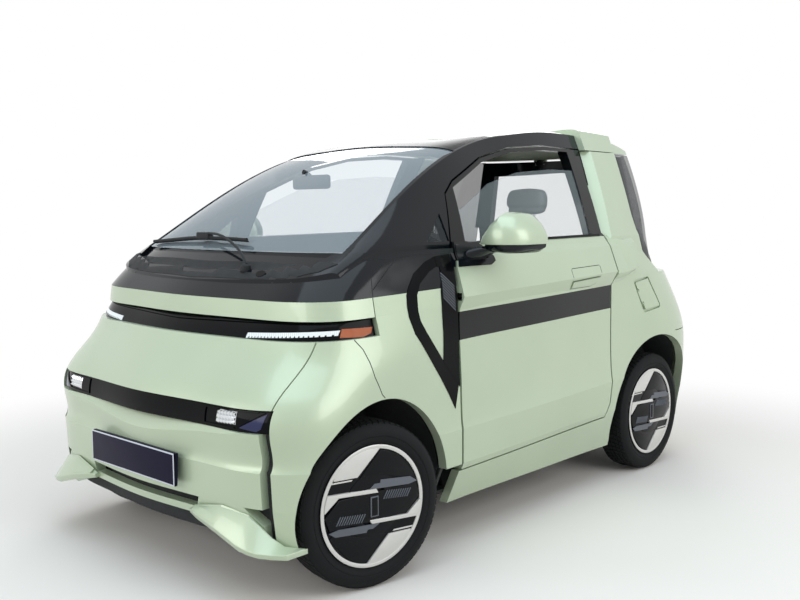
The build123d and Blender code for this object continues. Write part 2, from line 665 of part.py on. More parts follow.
with BuildPart() as knuckle:
    with Locations((kingpin_x, front_axle_y, 234)):
        Cylinder(kingpin_radius, 186, align=(Align.CENTER, Align.CENTER, Align.MIN))
    with Locations(Pos(kingpin_x, front_axle_y, axle_z) * Rot(Y=90)):
        Cylinder(16, front_wheel_x - kingpin_x + 24, align=(Align.CENTER, Align.CENTER, Align.MIN))
    with BuildSketch(Plane.XY.offset(300)):
        with BuildLine():
            Polyline((kingpin_x - 14, front_axle_y), (kingpin_x + 14, front_axle_y),
                     (kingpin_x - 30, front_axle_y + 130), (kingpin_x - 54, front_axle_y + 130), close=True)
        make_face()
    extrude(amount=16)
finish(steered(knuckle.part, 1), "knuckle_left")
finish(steered(mirror(knuckle.part, about=Plane.YZ), -1), "knuckle_right")

with BuildPart() as wheel:
    with BuildSketch(Plane.XZ):
        with BuildLine():
            Polyline((63, 0), (63, 186), (66, 196), (66, rim_radius), (58, rim_radius), (58, 190), (-58, 190),
                     (-58, rim_radius), (-66, rim_radius), (-66, 180), (50, 178), (50, 96), (-10, 96), (-10, 84),
                     (40, 84), (40, 42), (-50, 42), (-50, 0), close=True)
        make_face()
    revolve(axis=Axis.X)
    with Locations(Pos(-60, 0, 0) * Rot(Y=90)):
        Cylinder(16.4, 90, align=(Align.CENTER, Align.CENTER, Align.MIN), mode=Mode.SUBTRACT)
with BuildPart() as tyre:
    half = tyre_width / 2
    with BuildSketch(Plane.XZ):
        with BuildLine():
            Polyline((-56, 190), (56, 190), (57.5, rim_radius + 2))
            Spline((57.5, rim_radius + 2), (half, 236), (half - 3, 256), (half - 12, tyre_radius - 9),
                   tangents=((1, 0.3), (-1.5, 1)))
            Spline((half - 12, tyre_radius - 9), (0, tyre_radius), (12 - half, tyre_radius - 9))
            Spline((12 - half, tyre_radius - 9), (3 - half, 256), (-half, 236), (-57.5, rim_radius + 2),
                   tangents=((-1.5, -1), (1, -0.3)))
            Line((-57.5, rim_radius + 2), (-56, 190))
        make_face()
    revolve(axis=Axis.X)
for name, x, y in (("front_left", front_wheel_x, front_axle_y), ("front_right", -front_wheel_x, front_axle_y),
                   ("rear_left", rear_wheel_x, rear_axle_y), ("rear_right", -rear_wheel_x, rear_axle_y)):
    for part, kind in ((wheel.part, "wheel"), (tyre.part, "tyre")):
        placed = Pos(x, y, axle_z) * Rot(Z=0 if x > 0 else 180) * part
        finish(steered(placed, 1 if x > 0 else -1) if y < 0 else placed, f"{kind}_{name}")

# ---------------------------------------------------------------- cabin
with BuildPart() as dashboard:
    with BuildSketch(Plane.YZ):
        with BuildLine():
            Polyline((-960, 780 + seat_fit), (-1040, 880), (-985, 1010), (-800, 1066), (-620, 1056),
                     (-530, 990),
                     (-505, 880), (-560, 780 + seat_fit), close=True)
        make_face()
    extrude(amount=558)
    add(cabin, mode=Mode.INTERSECT)
    mirror(about=Plane.YZ)
    with Locations(column):
        Cylinder(30, 340, align=(Align.CENTER, Align.CENTER, Align.MIN))
        Cylinder(12.4, 60, align=(Align.CENTER, Align.CENTER, Align.MIN), mode=Mode.SUBTRACT)
finish(dashboard.part, "dashboard")

with BuildPart() as steering_wheel:
    with Locations(steering_plane):
        Torus(174, 15)
        Cylinder(52, 44)
        for angle in (0, 180, 270):
            with Locations(Rot(Z=angle) * Pos(108, 0, 0)):
                Box(124, 38, 14)
        with Locations(Rot(X=180)):
            Cylinder(12, column_gap + 48, align=(Align.CENTER, Align.CENTER, Align.MIN))
finish(steering_wheel.part, "steering_wheel")

with BuildPart() as seat_cushions:
    with BuildSketch(Plane.YZ.offset(70)):
        with BuildLine():
            Polyline((-236, 430 + 2 * seat_fit), (-250, 560), (-215, 596), (0, 580), (196, 556),
                     (196, 430 + 2 * seat_fit),
                     close=True)
        make_face()
    extrude(amount=460)
    mirror(about=Plane.YZ)
finish(seat_cushions.part, "seat_cushions")

with BuildPart() as seat_backs:
    with BuildSketch(Plane.YZ.offset(70)):
        with BuildLine():
            Polyline((204, 430 + 2 * seat_fit), (326, 430 + 2 * seat_fit), (462, 1130), (452, 1176),
                     (380, 1180),
                     (338, 1100), close=True)
        make_face()
    extrude(amount=460)
    with BuildSketch(Plane.YZ.offset(180)):
        with BuildLine():
            Polyline((374, 1206), (470, 1206), (478, 1330), (440, 1356), (396, 1340), close=True)
        make_face()
    extrude(amount=240)
    with Locations((250, 422, 1192), (350, 422, 1192)):
        Cylinder(8, 60)
    mirror(about=Plane.YZ)
finish(seat_backs.part, "seat_backs")
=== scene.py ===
"""Two-door electric microcar with a sage green body, a dark upper body and a two-seat cabin.

The pieces are in metres. +X is the car's left, -Y its front, +Z up.
"""

import logging
import math
from dataclasses import dataclass
from enum import Enum
from typing import Callable, Iterable, Sequence

import bmesh
import bpy
from mathutils import Matrix, Vector


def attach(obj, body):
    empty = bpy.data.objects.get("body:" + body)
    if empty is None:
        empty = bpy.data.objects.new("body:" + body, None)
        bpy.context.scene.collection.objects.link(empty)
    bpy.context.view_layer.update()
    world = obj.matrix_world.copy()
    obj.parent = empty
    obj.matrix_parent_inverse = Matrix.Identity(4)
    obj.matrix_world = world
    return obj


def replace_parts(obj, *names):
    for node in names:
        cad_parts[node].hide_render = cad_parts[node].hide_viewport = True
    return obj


log = logging.getLogger("microcar")
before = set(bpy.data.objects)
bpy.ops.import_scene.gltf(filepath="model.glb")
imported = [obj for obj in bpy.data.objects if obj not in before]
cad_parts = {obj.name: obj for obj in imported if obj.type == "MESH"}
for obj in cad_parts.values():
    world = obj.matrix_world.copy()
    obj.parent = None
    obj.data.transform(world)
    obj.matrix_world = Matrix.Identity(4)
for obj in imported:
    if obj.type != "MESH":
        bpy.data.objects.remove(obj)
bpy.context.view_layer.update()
MM = 0.001
# Points nearer than this are merged into one.
WELD = 0.05 * MM
SAGE, DEEP_SAGE, DEEP_BLACK = "B9C7AC", "A7B79A", "0B0D0F"
# Paint drifts in tone over a hand's width, and its orange peel is about 4 mm across and 0.02 mm deep.
DRIFT_MM, PEEL_MM, PEEL_DEPTH = 350, 4.0, 0.02 * MM

Piece, Node, Socket = bpy.types.Object, bpy.types.Node, bpy.types.NodeSocket
Point = tuple[float, float]
Spot = tuple[float, float, float]
Test = Callable[[Vector, Vector], bool]


# ---------------------------------------------------------------- colour and nodes
def linear(code: str) -> tuple[float, float, float, float]:
    """Turn a written colour into the linear one the shader takes.

    Args:
        code: six hex digits, sRGB.

    Returns:
        Linear red, green, blue and an alpha of 1.
    """
    parts = [int(code[i:i + 2], 16) / 255 for i in (0, 2, 4)]
    return (*(c / 12.92 if c <= 0.04045 else ((c + 0.055) / 1.055) ** 2.4 for c in parts), 1.0)


class Nodes:
    """A node tree under construction."""

    def __init__(self, tree: bpy.types.NodeTree) -> None:
        """Start with an empty tree."""
        self.tree = tree
        tree.nodes.clear()

    def feed(self, socket: Socket, value: object) -> None:
        """Set an input to a value, or link it to another socket.

        Args:
            socket: the input.
            value: the value or socket it takes.
        """
        if isinstance(value, Socket):
            self.tree.links.new(value, socket)
        else:
            socket.default_value = value

    def add(self, kind: str, settings: dict[str, object] | None = None, **inputs: object) -> Node:
        """Add a node.

        Args:
            kind: the node's type.
            settings: attributes of the node, such as its operation.
            inputs: what each input takes, by its name with _ for a space, or iN for input N.

        Returns:
            The new node.
        """
        node = self.tree.nodes.new(kind)
        for key, value in (settings or {}).items():
            setattr(node, key, value)
        for key, value in inputs.items():
            numbered = key[0] == "i" and key[1:].isdigit()
            self.feed(node.inputs[int(key[1:]) if numbered else key.replace("_", " ")], value)
        return node

    def math(self, operation: str, a: object, b: object = 0.0, c: object = 0.0) -> Socket:
        """A number worked out from up to three others, each a value or a socket."""
        return self.add("ShaderNodeMath", {"operation": operation}, i0=a, i1=b, i2=c).outputs[0]

    def mix(self, amount: object, a: object, b: object) -> Socket:
        """A colour between two, by amount from 0 to 1."""
        return self.add("ShaderNodeMix", {"data_type": "RGBA"}, i0=amount, i6=a, i7=b).outputs[2]

    def blend(self, amount: object, a: float, b: float) -> Socket:
        """A number between a and b, by amount from 0 to 1."""
        return self.math("MULTIPLY_ADD", amount, b - a, a)

    def seen(self) -> Socket:
        """Tell what the camera sees from what lights the car.

        Returns:
            A socket that is 1 for what is seen straight, mirrored or through glass, and else 0.
        """
        path = self.add("ShaderNodeLightPath").outputs
        straight = self.math("MAXIMUM", path["Is Camera Ray"], path["Is Transmission Ray"])
        return self.math("MAXIMUM", straight, path["Is Glossy Ray"])


class Shader(Nodes):
    """One material under construction, on object coordinates."""

    def __init__(self, name: str) -> None:
        """Start a material with a Principled shader.

        Args:
            name: the material's name.
        """
        self.material = bpy.data.materials.new(name)
        self.material.use_nodes = True
        super().__init__(self.material.node_tree)
        self.skin = self.add("ShaderNodeBsdfPrincipled")
        self.output = self.add("ShaderNodeOutputMaterial", i0=self.skin.outputs[0])
        self.coords = self.add("ShaderNodeTexCoord").outputs["Object"]

    def axes(self) -> tuple[Socket, ...]:
        """The x, y and z of a point on the surface."""
        return tuple(self.add("ShaderNodeSeparateXYZ", i0=self.coords).outputs)

    def set(self, **inputs: object) -> None:
        """Set or link inputs of the Principled shader, with _ for a space."""
        for key, value in inputs.items():
            self.feed(self.skin.inputs[key.replace("_", " ")], value)

    def noise(self, size_mm: float, detail: float = 2.0) -> Socket:
        """Noise whose grains are about size_mm across."""
        scale = 1 / (size_mm * MM)
        return self.add("ShaderNodeTexNoise", Vector=self.coords, Scale=scale, Detail=detail).outputs[0]

    def tones(self, first: str, second: str, size_mm: float, reach: float = 1.0) -> Socket:
        """A colour that drifts from one hex tone towards another, over patches of size_mm."""
        amount = self.noise(size_mm) if reach == 1.0 else self.blend(self.noise(size_mm), 0.0, reach)
        return self.mix(amount, linear(first), linear(second))

    def bump(self, height: object, depth: float, strength: float = 1.0) -> None:
        """Raise the surface by a height from 0 to 1, depth metres at most."""
        node = self.add("ShaderNodeBump", Strength=strength, Distance=depth, Height=height)
        self.feed(self.skin.inputs["Normal"], node.outputs[0])


# ---------------------------------------------------------------- finishes
@dataclass(frozen=True)
class SprayedPaint:
    """Two-coat car paint: a coloured coat with fine flake under a clear, mirror-smooth lacquer."""

    name: str = "sage_car_paint"
    colour: str = SAGE
    shade: str = DEEP_SAGE

    def make(self) -> Shader:
        """Make the paint, with its faint orange peel.

        Returns:
            The shader.
        """
        s = Shader(self.name)
        s.set(Base_Color=s.tones(self.colour, self.shade, DRIFT_MM, 0.6), Metallic=0.25, Roughness=0.38,
              Coat_Weight=0.6, Coat_Roughness=0.03)
        s.bump(s.noise(PEEL_MM), PEEL_DEPTH)
        return s


@dataclass(frozen=True)
class TwoTonePaint:
    """Sage car paint masked off for a gloss black coat that has no flake and no lacquer."""

    name: str
    black_roughness: float
    black_specular: float

    def mask(self, s: Shader) -> Socket:
        """Say where the paint is black.

        Args:
            s: the shader that it is drawn in.

        Returns:
            A socket that is 1 where the paint is black and 0 where it is green.
        """
        raise NotImplementedError

    def make(self) -> Shader:
        """Make the paint with its mask by place.

        Returns:
            The shader.
        """
        s = Shader(self.name)
        mask = self.mask(s)
        s.set(Base_Color=s.mix(mask, s.tones(SAGE, DEEP_SAGE, DRIFT_MM, 0.6), linear(DEEP_BLACK)),
              Metallic=s.blend(mask, 0.25, 0.0), Roughness=s.blend(mask, 0.34, self.black_roughness),
              Coat_Weight=s.blend(mask, 0.6, 0.0), Coat_Roughness=0.03,
              Specular_IOR_Level=s.blend(mask, 0.5, self.black_specular))
        s.bump(s.noise(PEEL_MM), PEEL_DEPTH)
        return s


@dataclass(frozen=True)
class TwoToneDoorPaint(TwoTonePaint):
    """The door's paint: green below, with a gloss black band, and a black frame round the glass."""

    name: str = "sage_and_black_door_paint"
    black_roughness: float = 0.12
    black_specular: float = 0.3
    front: float = -0.555
    belt: float = 1.119
    band_low: float = 0.779
    band_high: float = 0.881
    lead_y: float = -0.530
    lead_z: float = 1.062
    waist: float = 0.62
    skin_x: float = 0.694

    def mask(self, s: Shader) -> Socket:
        """Mask the band, the corner under the mirror, the frame above the belt and the inner side.

        Args:
            s: the shader that it is drawn in.

        Returns:
            A socket that is 1 where the paint is black.
        """
        x, y, z = s.axes()
        along = s.math("SUBTRACT", y, self.front)
        # The band and the belt rise a little towards the rear.
        low = s.math("MULTIPLY_ADD", along, 0.0275, self.band_low)
        high = s.math("MULTIPLY_ADD", along, 0.0285, self.band_high)
        band = s.math("MULTIPLY", s.math("GREATER_THAN", z, low), s.math("LESS_THAN", z, high))
        lead = s.math("MULTIPLY", s.math("LESS_THAN", y, self.lead_y), s.math("GREATER_THAN", z, self.lead_z))
        window = s.math("GREATER_THAN", z, s.math("MULTIPLY_ADD", along, 0.010, self.belt))
        # The outer skin leans in above and below the waist, and what lies inside it is black.
        height = s.math("ABSOLUTE", s.math("SUBTRACT", z, self.waist))
        skin = s.math("MULTIPLY_ADD", height, -0.05, self.skin_x)
        inner = s.math("LESS_THAN", s.math("ABSOLUTE", x), skin)
        return s.math("MAXIMUM", s.math("MAXIMUM", band, lead), s.math("MAXIMUM", window, inner))


@dataclass(frozen=True)
class TwoToneRoofPaint(TwoTonePaint):
    """The roof's paint: gloss black at the header over the windscreen, sage green from there back."""

    name: str = "sage_and_black_roof_paint"
    black_roughness: float = 0.30
    black_specular: float = 0.06
    joint: float = -0.130
    bow: float = 0.35

    def mask(self, s: Shader) -> Socket:
        """Mask the header; its joint bows forward in the middle of the roof.

        Args:
            s: the shader that it is drawn in.

        Returns:
            A socket that is 1 where the paint is black.
        """
        x, y, _ = s.axes()
        return s.math("LESS_THAN", y, s.math("MULTIPLY_ADD", s.math("MULTIPLY", x, x), self.bow, self.joint))


@dataclass(frozen=True)
class GlossPanel:
    """Black polycarbonate panel, polished: deep black with sharp reflections."""

    name: str = "gloss_black_polycarbonate"
    colour: str = "0C1116"
    roughness: float = 0.08
    shine: float = 0.32

    def make(self) -> Shader:
        """Make the panel's plastic, with hairline polish marks.

        Returns:
            The shader.
        """
        s = Shader(self.name)
        marks = s.blend(s.noise(60), self.roughness, self.roughness + 0.06)
        s.set(Base_Color=linear(self.colour), Roughness=marks, IOR=1.45, Specular_IOR_Level=self.shine)
        return s


@dataclass(frozen=True)
class GrainedPlastic:
    """Moulded polypropylene with a leather grain about 1.2 mm across, drawn 2 mm so that it shows."""

    name: str = "grained_black_polypropylene"
    colour: str = "17191A"
    roughness: float = 0.62
    grain_mm: float = 2.0

    def make(self) -> Shader:
        """Make the plastic with its grain.

        Returns:
            The shader.
        """
        s = Shader(self.name)
        cells = s.add("ShaderNodeTexVoronoi", {"feature": "DISTANCE_TO_EDGE"}, Vector=s.coords,
                      Scale=1 / (self.grain_mm * MM)).outputs[0]
        s.set(Base_Color=s.tones(self.colour, "232628", 120),
              Roughness=s.blend(s.noise(40), self.roughness - 0.06, self.roughness + 0.08), IOR=1.49,
              Specular_IOR_Level=0.3)
        s.bump(s.math("MINIMUM", s.math("MULTIPLY", cells, 4.0), 1.0), 0.0002, 0.5)
        return s


@dataclass(frozen=True)
class CarGlass:
    """Laminated or tempered soda-lime glass, lightly coloured: clear, with sharp reflections. On the
    windscreen a pale veil over it is painted reflection of the sky.
    """

    name: str = "tinted_safety_glass"
    tint_and_painted_reflection: str = "B4C3C6"
    veil: float = 0.16

    def make(self) -> Shader:
        """Make the glass as a thin tinted pane, more mirror-like the flatter it is seen.

        Returns:
            The shader.
        """
        s = Shader(self.name)
        glance = s.add("ShaderNodeFresnel", IOR=1.5).outputs[0]
        # A faint film of dust keeps the pane from being perfectly even, and only its outer face shines.
        film = s.blend(s.noise(180), -0.01, 0.01)
        outer = s.math("SUBTRACT", 1.0, s.add("ShaderNodeNewGeometry").outputs["Backfacing"])
        # The veil lays the pane's colour over what lies behind it; on the windscreen that colour is a pale,
        # painted reflection of the sky.
        s.set(Base_Color=linear(self.tint_and_painted_reflection), Roughness=0.02, IOR=1.5, Metallic=0.35,
              Alpha=s.math("MULTIPLY", s.math("ADD", s.blend(glance, self.veil, 0.9), film), outer))
        s.material.surface_render_method = "BLENDED"
        return s


@dataclass(frozen=True)
class Rubber:
    """Carbon-black tyre rubber: deep grey, dull, with a slight sheen from the mould."""

    name: str = "carbon_black_rubber"
    colour: str = "121314"

    def make(self) -> Shader:
        """Make the rubber, dusty in patches, with the mould's fine texture.

        Returns:
            The shader.
        """
        s = Shader(self.name)
        dust = s.noise(70, 4.0)
        s.set(Base_Color=s.mix(s.blend(dust, 0.0, 0.5), linear(self.colour), linear("1E2021")),
              Roughness=s.blend(dust, 0.62, 0.80), IOR=1.45, Specular_IOR_Level=0.20)
        s.bump(s.noise(1.6, 3.0), 0.0002, 0.4)
        return s


@dataclass(frozen=True)
class PaintedSteel:
    """Steel with a black cathodic dip coat: even, half dull, with stone chips."""

    name: str = "black_dipped_steel"
    colour: str = "1B1D1F"

    def make(self) -> Shader:
        """Make the coated steel.

        Returns:
            The shader.
        """
        s = Shader(self.name)
        chips = s.math("GREATER_THAN", s.noise(9, 4.0), 0.72)
        s.set(Base_Color=s.mix(chips, linear(self.colour), linear("5C5E60")),
              Metallic=s.blend(chips, 0.1, 0.8), Roughness=s.blend(s.noise(25), 0.38, 0.55))
        s.bump(s.noise(3), 0.0001, 0.4)
        return s


@dataclass(frozen=True)
class CastAluminium:
    """Sand-cast aluminium: pale grey with a pebbled surface."""

    name: str = "cast_aluminium"

    def make(self) -> Shader:
        """Make the casting.

        Returns:
            The shader.
        """
        s = Shader(self.name)
        s.set(Base_Color=s.tones("8C8E90", "A6A8A9", 30), Metallic=0.9,
              Roughness=s.blend(s.noise(12), 0.45, 0.65))
        s.bump(s.noise(2.5, 4.0), 0.0004, 0.5)
        return s


@dataclass(frozen=True)
class SilverLacquer:
    """Silver wheel lacquer: fine aluminium flake under a clear coat."""

    name: str = "silver_wheel_lacquer"
    colour: str = "D6D4CF"

    def make(self) -> Shader:
        """Make the lacquer with its flake.

        Returns:
            The shader.
        """
        s = Shader(self.name)
        s.set(Base_Color=s.tones(self.colour, "C4C2BD", 1.2), Metallic=0.2, Roughness=0.3, Coat_Weight=0.7,
              Coat_Roughness=0.06)
        s.bump(s.noise(3.0), 0.02 * MM)
        return s


@dataclass(frozen=True)
class LampPlastic:
    """Polycarbonate lamp cover, coloured through, with optical flutes moulded inside."""

    name: str = "red_lamp_polycarbonate"
    colour: str = "6E0B10"
    shade: str = "2A0506"
    flute_mm: float = 6.0
    glow: float = 0.0

    def make(self) -> Shader:
        """Make the cover with its flutes.

        Returns:
            The shader.
        """
        s = Shader(self.name)
        x, y, _ = s.axes()
        wave = s.math("SINE", s.math("MULTIPLY", s.math("ADD", x, y), 2 * math.pi / (self.flute_mm * MM)))
        s.set(Base_Color=s.mix(s.blend(wave, 0.5, 0.9), linear(self.colour), linear(self.shade)),
              Roughness=0.12, IOR=1.58, Specular_IOR_Level=0.3)
        if self.glow:
            s.set(Emission_Color=linear(self.colour), Emission_Strength=self.glow)
        s.bump(s.blend(wave, 0.5, 1.0), 0.0006, 0.6)
        return s


@dataclass(frozen=True)
class Weave:
    """Flat woven seat cloth in light grey: threads about 0.6 mm, drawn 1.6 mm so that they show."""

    name: str = "light_grey_seat_cloth"
    colour: str = "9FA4A5"
    thread_mm: float = 1.6

    def make(self) -> Shader:
        """Make the cloth with its over and under threads and a little fuzz.

        Returns:
            The shader.
        """
        s = Shader(self.name)
        x, y, z = s.axes()
        turn = math.pi / (self.thread_mm * MM)
        warp, weft = (s.math("SINE", s.math("MULTIPLY", way, turn)) for way in (x, s.math("ADD", y, z)))
        cross = s.math("MULTIPLY", warp, weft)
        s.set(Base_Color=s.mix(s.blend(cross, 0.5, 1.0), linear(self.colour), linear("888D8F")),
              Roughness=0.9, Sheen_Weight=0.3, Sheen_Roughness=0.5)
        s.bump(s.math("ADD", cross, s.math("MULTIPLY", s.noise(5), 0.5)), 0.0004, 0.5)
        return s


@dataclass(frozen=True)
class ChromePlate:
    """Vacuum-plated reflector: bright chrome."""

    name: str = "chrome_reflector"

    def make(self) -> Shader:
        """Make the plating, very faintly rippled.

        Returns:
            The shader.
        """
        s = Shader(self.name)
        s.set(Base_Color=linear("D9DCDE"), Metallic=1.0, Roughness=s.blend(s.noise(15), 0.04, 0.12))
        return s


class Finish(Enum):
    """Every finish on the car."""

    PAINT = SprayedPaint()
    DOOR = TwoToneDoorPaint()
    ROOF = TwoToneRoofPaint()
    GLOSS = GlossPanel()
    LAMP_BLACK = GlossPanel("gloss_black_lamp_surround", "08090B", 0.05, 0.10)
    GRAIN = GrainedPlastic()
    DASH = GrainedPlastic("soft_grey_dashboard_foam", "26282A", 0.72, 2.4)
    GLASS = CarGlass()
    # Painted reflection: a pale blue-grey veil, 36 % opaque when seen straight on, stands for the sky
    # reflected in the windscreen.
    SCREEN = CarGlass("windscreen_glass_with_painted_sky", "C4D2D9", 0.36)
    PRIVACY = CarGlass("privacy_glass", "1C2428", 0.72)
    RUBBER = Rubber()
    STEEL = PaintedSteel()
    CAST = CastAluminium()
    SILVER = SilverLacquer()
    WHEEL = GlossPanel("gloss_black_wheel_cover", "0D0E10", 0.14, 0.18)
    RED = LampPlastic()
    AMBER = LampPlastic("amber_lamp_polycarbonate", "B4560C", "823204", 5.0, 0.08)
    WHITE = LampPlastic("white_light_guide", "E6EAEA", "B9C0C2", 9.0, 0.25)
    PLATE = GlossPanel("navy_plate_film", "16142A", 0.4, 0.12)
    PLATE_RIM = GlossPanel("pale_plate_rim", "C9CCD6", 0.25)
    CLOTH = Weave()
    GREY = GlossPanel("grey_wheel_lacquer", "5D6168", 0.3)
    NAVY = GlossPanel("navy_tinted_polycarbonate", "2B2F52", 0.12)
    SEAL = GrainedPlastic("black_rubber_seal", "0A0B0B", 0.8)
    # Painted shade: a darker sage that stands for the shadow in the door handle's finger recess.
    SHADE = SprayedPaint("painted_shade_sage", "6E7A62", "616C56")
    RED_GLOW = LampPlastic("red_light_guide", "C2141B", "8A0D12", 7.0, 0.4)
    CHROME = ChromePlate()

    def material(self) -> bpy.types.Material:
        """The finish's material, made the first time it is asked for."""
        found = bpy.data.materials.get(self.value.name)
        return found or self.value.make().material


NODE_FINISH: dict[Finish, tuple[str, ...]] = {
    Finish.PAINT: ("front_fenders", "hood", "nose_band", "front_bumper", "body_sides", "charge_flap",
                   "rear_bumper", "mirror_left", "mirror_right"),
    Finish.DOOR: ("door_left", "door_right"),
    Finish.ROOF: ("roof_panel",),
    Finish.GLOSS: ("cowl_panel", "glasshouse_frame", "tailgate"),
    Finish.LAMP_BLACK: ("light_strip", "grille_band"),
    Finish.GRAIN: ("front_insert", "arch_liners", "steering_wheel"),
    Finish.DASH: ("dashboard",),
    Finish.SCREEN: ("windscreen",),
    Finish.GLASS: ("door_glass_left", "door_glass_right", "tailgate_glass"),
    Finish.PRIVACY: ("side_glass",),
    Finish.RUBBER: ("tyre_front_left", "tyre_front_right", "tyre_rear_left", "tyre_rear_right"),
    Finish.STEEL: ("chassis_frame", "battery_pack", "rear_axle", "front_suspension", "knuckle_left",
                   "knuckle_right"),
    Finish.CAST: ("drive_motor",),
    Finish.WHEEL: ("wheel_front_left", "wheel_front_right", "wheel_rear_left", "wheel_rear_right"),
    Finish.RED: ("tail_light",),
    Finish.PLATE: ("number_plates",),
    Finish.CLOTH: ("seat_cushions", "seat_backs"),
}


def dress_nodes() -> None:
    """Give every node of the frame its finish."""
    for finish, names in NODE_FINISH.items():
        for name in names:
            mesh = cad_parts[name].data
            mesh.materials.clear()
            mesh.materials.append(finish.material())
    log.info("dressed %d nodes", sum(len(names) for names in NODE_FINISH.values()))


# ---------------------------------------------------------------- hand tools
def clear_selection() -> None:
    """Deselect every object."""
    if bpy.context.mode != "OBJECT":
        bpy.ops.object.mode_set(mode="OBJECT")
    bpy.ops.object.select_all(action="DESELECT")


def make_active(piece: Piece) -> None:
    """Select one object alone and make it the active one.

    Args:
        piece: the object.
    """
    clear_selection()
    piece.select_set(True)
    bpy.context.view_layer.objects.active = piece


def apply_place() -> None:
    """Write the active object's place, turn and size into its mesh."""
    bpy.ops.object.transform_apply(location=True, rotation=True, scale=True)


def open_edit() -> None:
    """Enter edit mode on the active object, with all of it selected."""
    bpy.ops.object.mode_set(mode="EDIT")
    bpy.ops.mesh.select_all(action="SELECT")


def close_edit(weld: bool = False) -> None:
    """Turn the faces outwards and leave edit mode.

    Args:
        weld: merge doubled points first.
    """
    bpy.ops.mesh.select_all(action="SELECT")
    if weld:
        bpy.ops.mesh.remove_doubles(threshold=WELD)
    bpy.ops.mesh.normals_make_consistent(inside=False)
    bpy.ops.object.mode_set(mode="OBJECT")


def choose(piece: Piece, test: Test, kind: str = "FACE") -> None:
    """In edit mode, select the faces or edges of a piece that pass a test.

    Args:
        piece: the active object, in edit mode.
        test: takes the middle of a face or edge and its normal or direction.
        kind: FACE or EDGE.
    """
    bpy.ops.mesh.select_mode(type=kind)
    bpy.ops.mesh.select_all(action="DESELECT")
    data = bmesh.from_edit_mesh(piece.data)
    for part in data.faces if kind == "FACE" else data.edges:
        if kind == "FACE":
            hit = test(part.calc_center_median(), part.normal)
        else:
            a, b = (v.co for v in part.verts)
            hit = test((a + b) / 2, (b - a).normalized())
        if hit:
            part.select_set(True)
    data.select_flush(True)
    bmesh.update_edit_mesh(piece.data)


def add_modifier(piece: Piece, kind: str, **settings: object) -> None:
    """Add a modifier with its settings and apply it.

    Args:
        piece: the object it shapes.
        kind: the modifier's type.
        settings: its attributes.
    """
    make_active(piece)
    modifier = piece.modifiers.new(kind.lower(), kind)
    for key, value in settings.items():
        setattr(modifier, key, value)
    bpy.ops.object.modifier_apply(modifier=modifier.name)


def rounded(piece: Piece, width_mm: float, segments: int, angle: float) -> None:
    """Bevel a piece's edges that turn by more than an angle in degrees."""
    add_modifier(piece, "BEVEL", width=width_mm * MM, segments=segments, limit_method="ANGLE",
                 angle_limit=math.radians(angle))


def settle(piece: Piece, name: str, body: str, finish: Finish, angle: float = 35,
           turned: bool = False) -> Piece:
    """Finish a piece: named, placed in its own mesh, smoothed, dressed and riding on its body.

    Args:
        piece: the object.
        name: its name.
        body: the CAD body it rides on.
        finish: its finish.
        angle: edges sharper than this, in degrees, stay sharp.
        turned: recalculate the normals first.

    Returns:
        The piece.
    """
    make_active(piece)
    piece.name = name
    apply_place()
    if turned:
        open_edit()
        close_edit(weld=True)
    bpy.ops.object.shade_smooth_by_angle(angle=math.radians(angle))
    if not piece.data.materials:
        piece.data.materials.append(finish.material())
    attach(piece, body)
    log.info("%s: %d faces on %s", name, len(piece.data.polygons), body)
    return piece


def copied(mesh: bpy.types.Mesh, name: str = "copy") -> Piece:
    """A new object with its own copy of a mesh.

    Args:
        mesh: the mesh.
        name: the object's name.

    Returns:
        The object.
    """
    copy = bpy.data.objects.new(name, mesh.copy())
    bpy.context.scene.collection.objects.link(copy)
    return copy


def twin(piece: Piece, change: Matrix) -> Piece:
    """A copy of a piece with its own mesh, moved by a matrix.

    Args:
        piece: the piece.
        change: how the copy is moved.

    Returns:
        The copy.
    """
    copy = copied(piece.data)
    copy.data.transform(change)
    return copy


def paired(piece: Piece, name: str, finish: Finish, angle: float = 35, body: str = "body") -> None:
    """Finish a piece on the car's left, and its mirror image on the right.

    Args:
        piece: the left one.
        name: the pair's name, without its side.
        finish: its finish.
        angle: edges of the left one sharper than this, in degrees, stay sharp.
        body: the body of both, or door for each side's own door.
    """
    bodies = ("door_left", "door_right") if body == "door" else (body, body)
    left = settle(piece, f"{name}_left", bodies[0], finish, angle)
    right = copied(left.data)
    make_active(right)
    right.scale.x = -1
    apply_place()
    open_edit()
    close_edit()
    settle(right, f"{name}_right", bodies[1], finish)


def merged(pieces: Sequence[Piece]) -> Piece:
    """Join objects into the first.

    Args:
        pieces: one or more objects.

    Returns:
        The first, with the others in it.
    """
    clear_selection()
    for piece in pieces:
        piece.select_set(True)
    bpy.context.view_layer.objects.active = pieces[0]
    if len(pieces) > 1:
        bpy.ops.object.join()
    return pieces[0]


def block(low: Sequence[float], high: Sequence[float], round_mm: float, segments: int = 2) -> Piece:
    """A block between two corners, its edges bevelled.

    Args:
        low: lowest corner, in metres.
        high: highest corner.
        round_mm: radius of its edges.
        segments: bevel segments.

    Returns:
        The object.
    """
    clear_selection()
    low, high = Vector(low), Vector(high)
    bpy.ops.mesh.primitive_cube_add(size=1, location=(low + high) / 2)
    piece = bpy.context.object
    piece.scale = high - low
    apply_place()
    open_edit()
    bpy.ops.mesh.bevel(offset=round_mm * MM, segments=segments, affect="EDGES", clamp_overlap=True)
    bpy.ops.object.mode_set(mode="OBJECT")
    return piece


def ring_of(spots: Sequence[Sequence[float]], fill: str = "NOTHING") -> Piece:
    """A closed loop of edges through given points.

    Args:
        spots: its points, in order.
        fill: NGON to close it with a face.

    Returns:
        The object.
    """
    clear_selection()
    bpy.ops.mesh.primitive_circle_add(vertices=len(spots), radius=1, fill_type=fill)
    piece = bpy.context.object
    for vertex, spot in zip(piece.data.vertices, spots):
        vertex.co = spot
    return piece


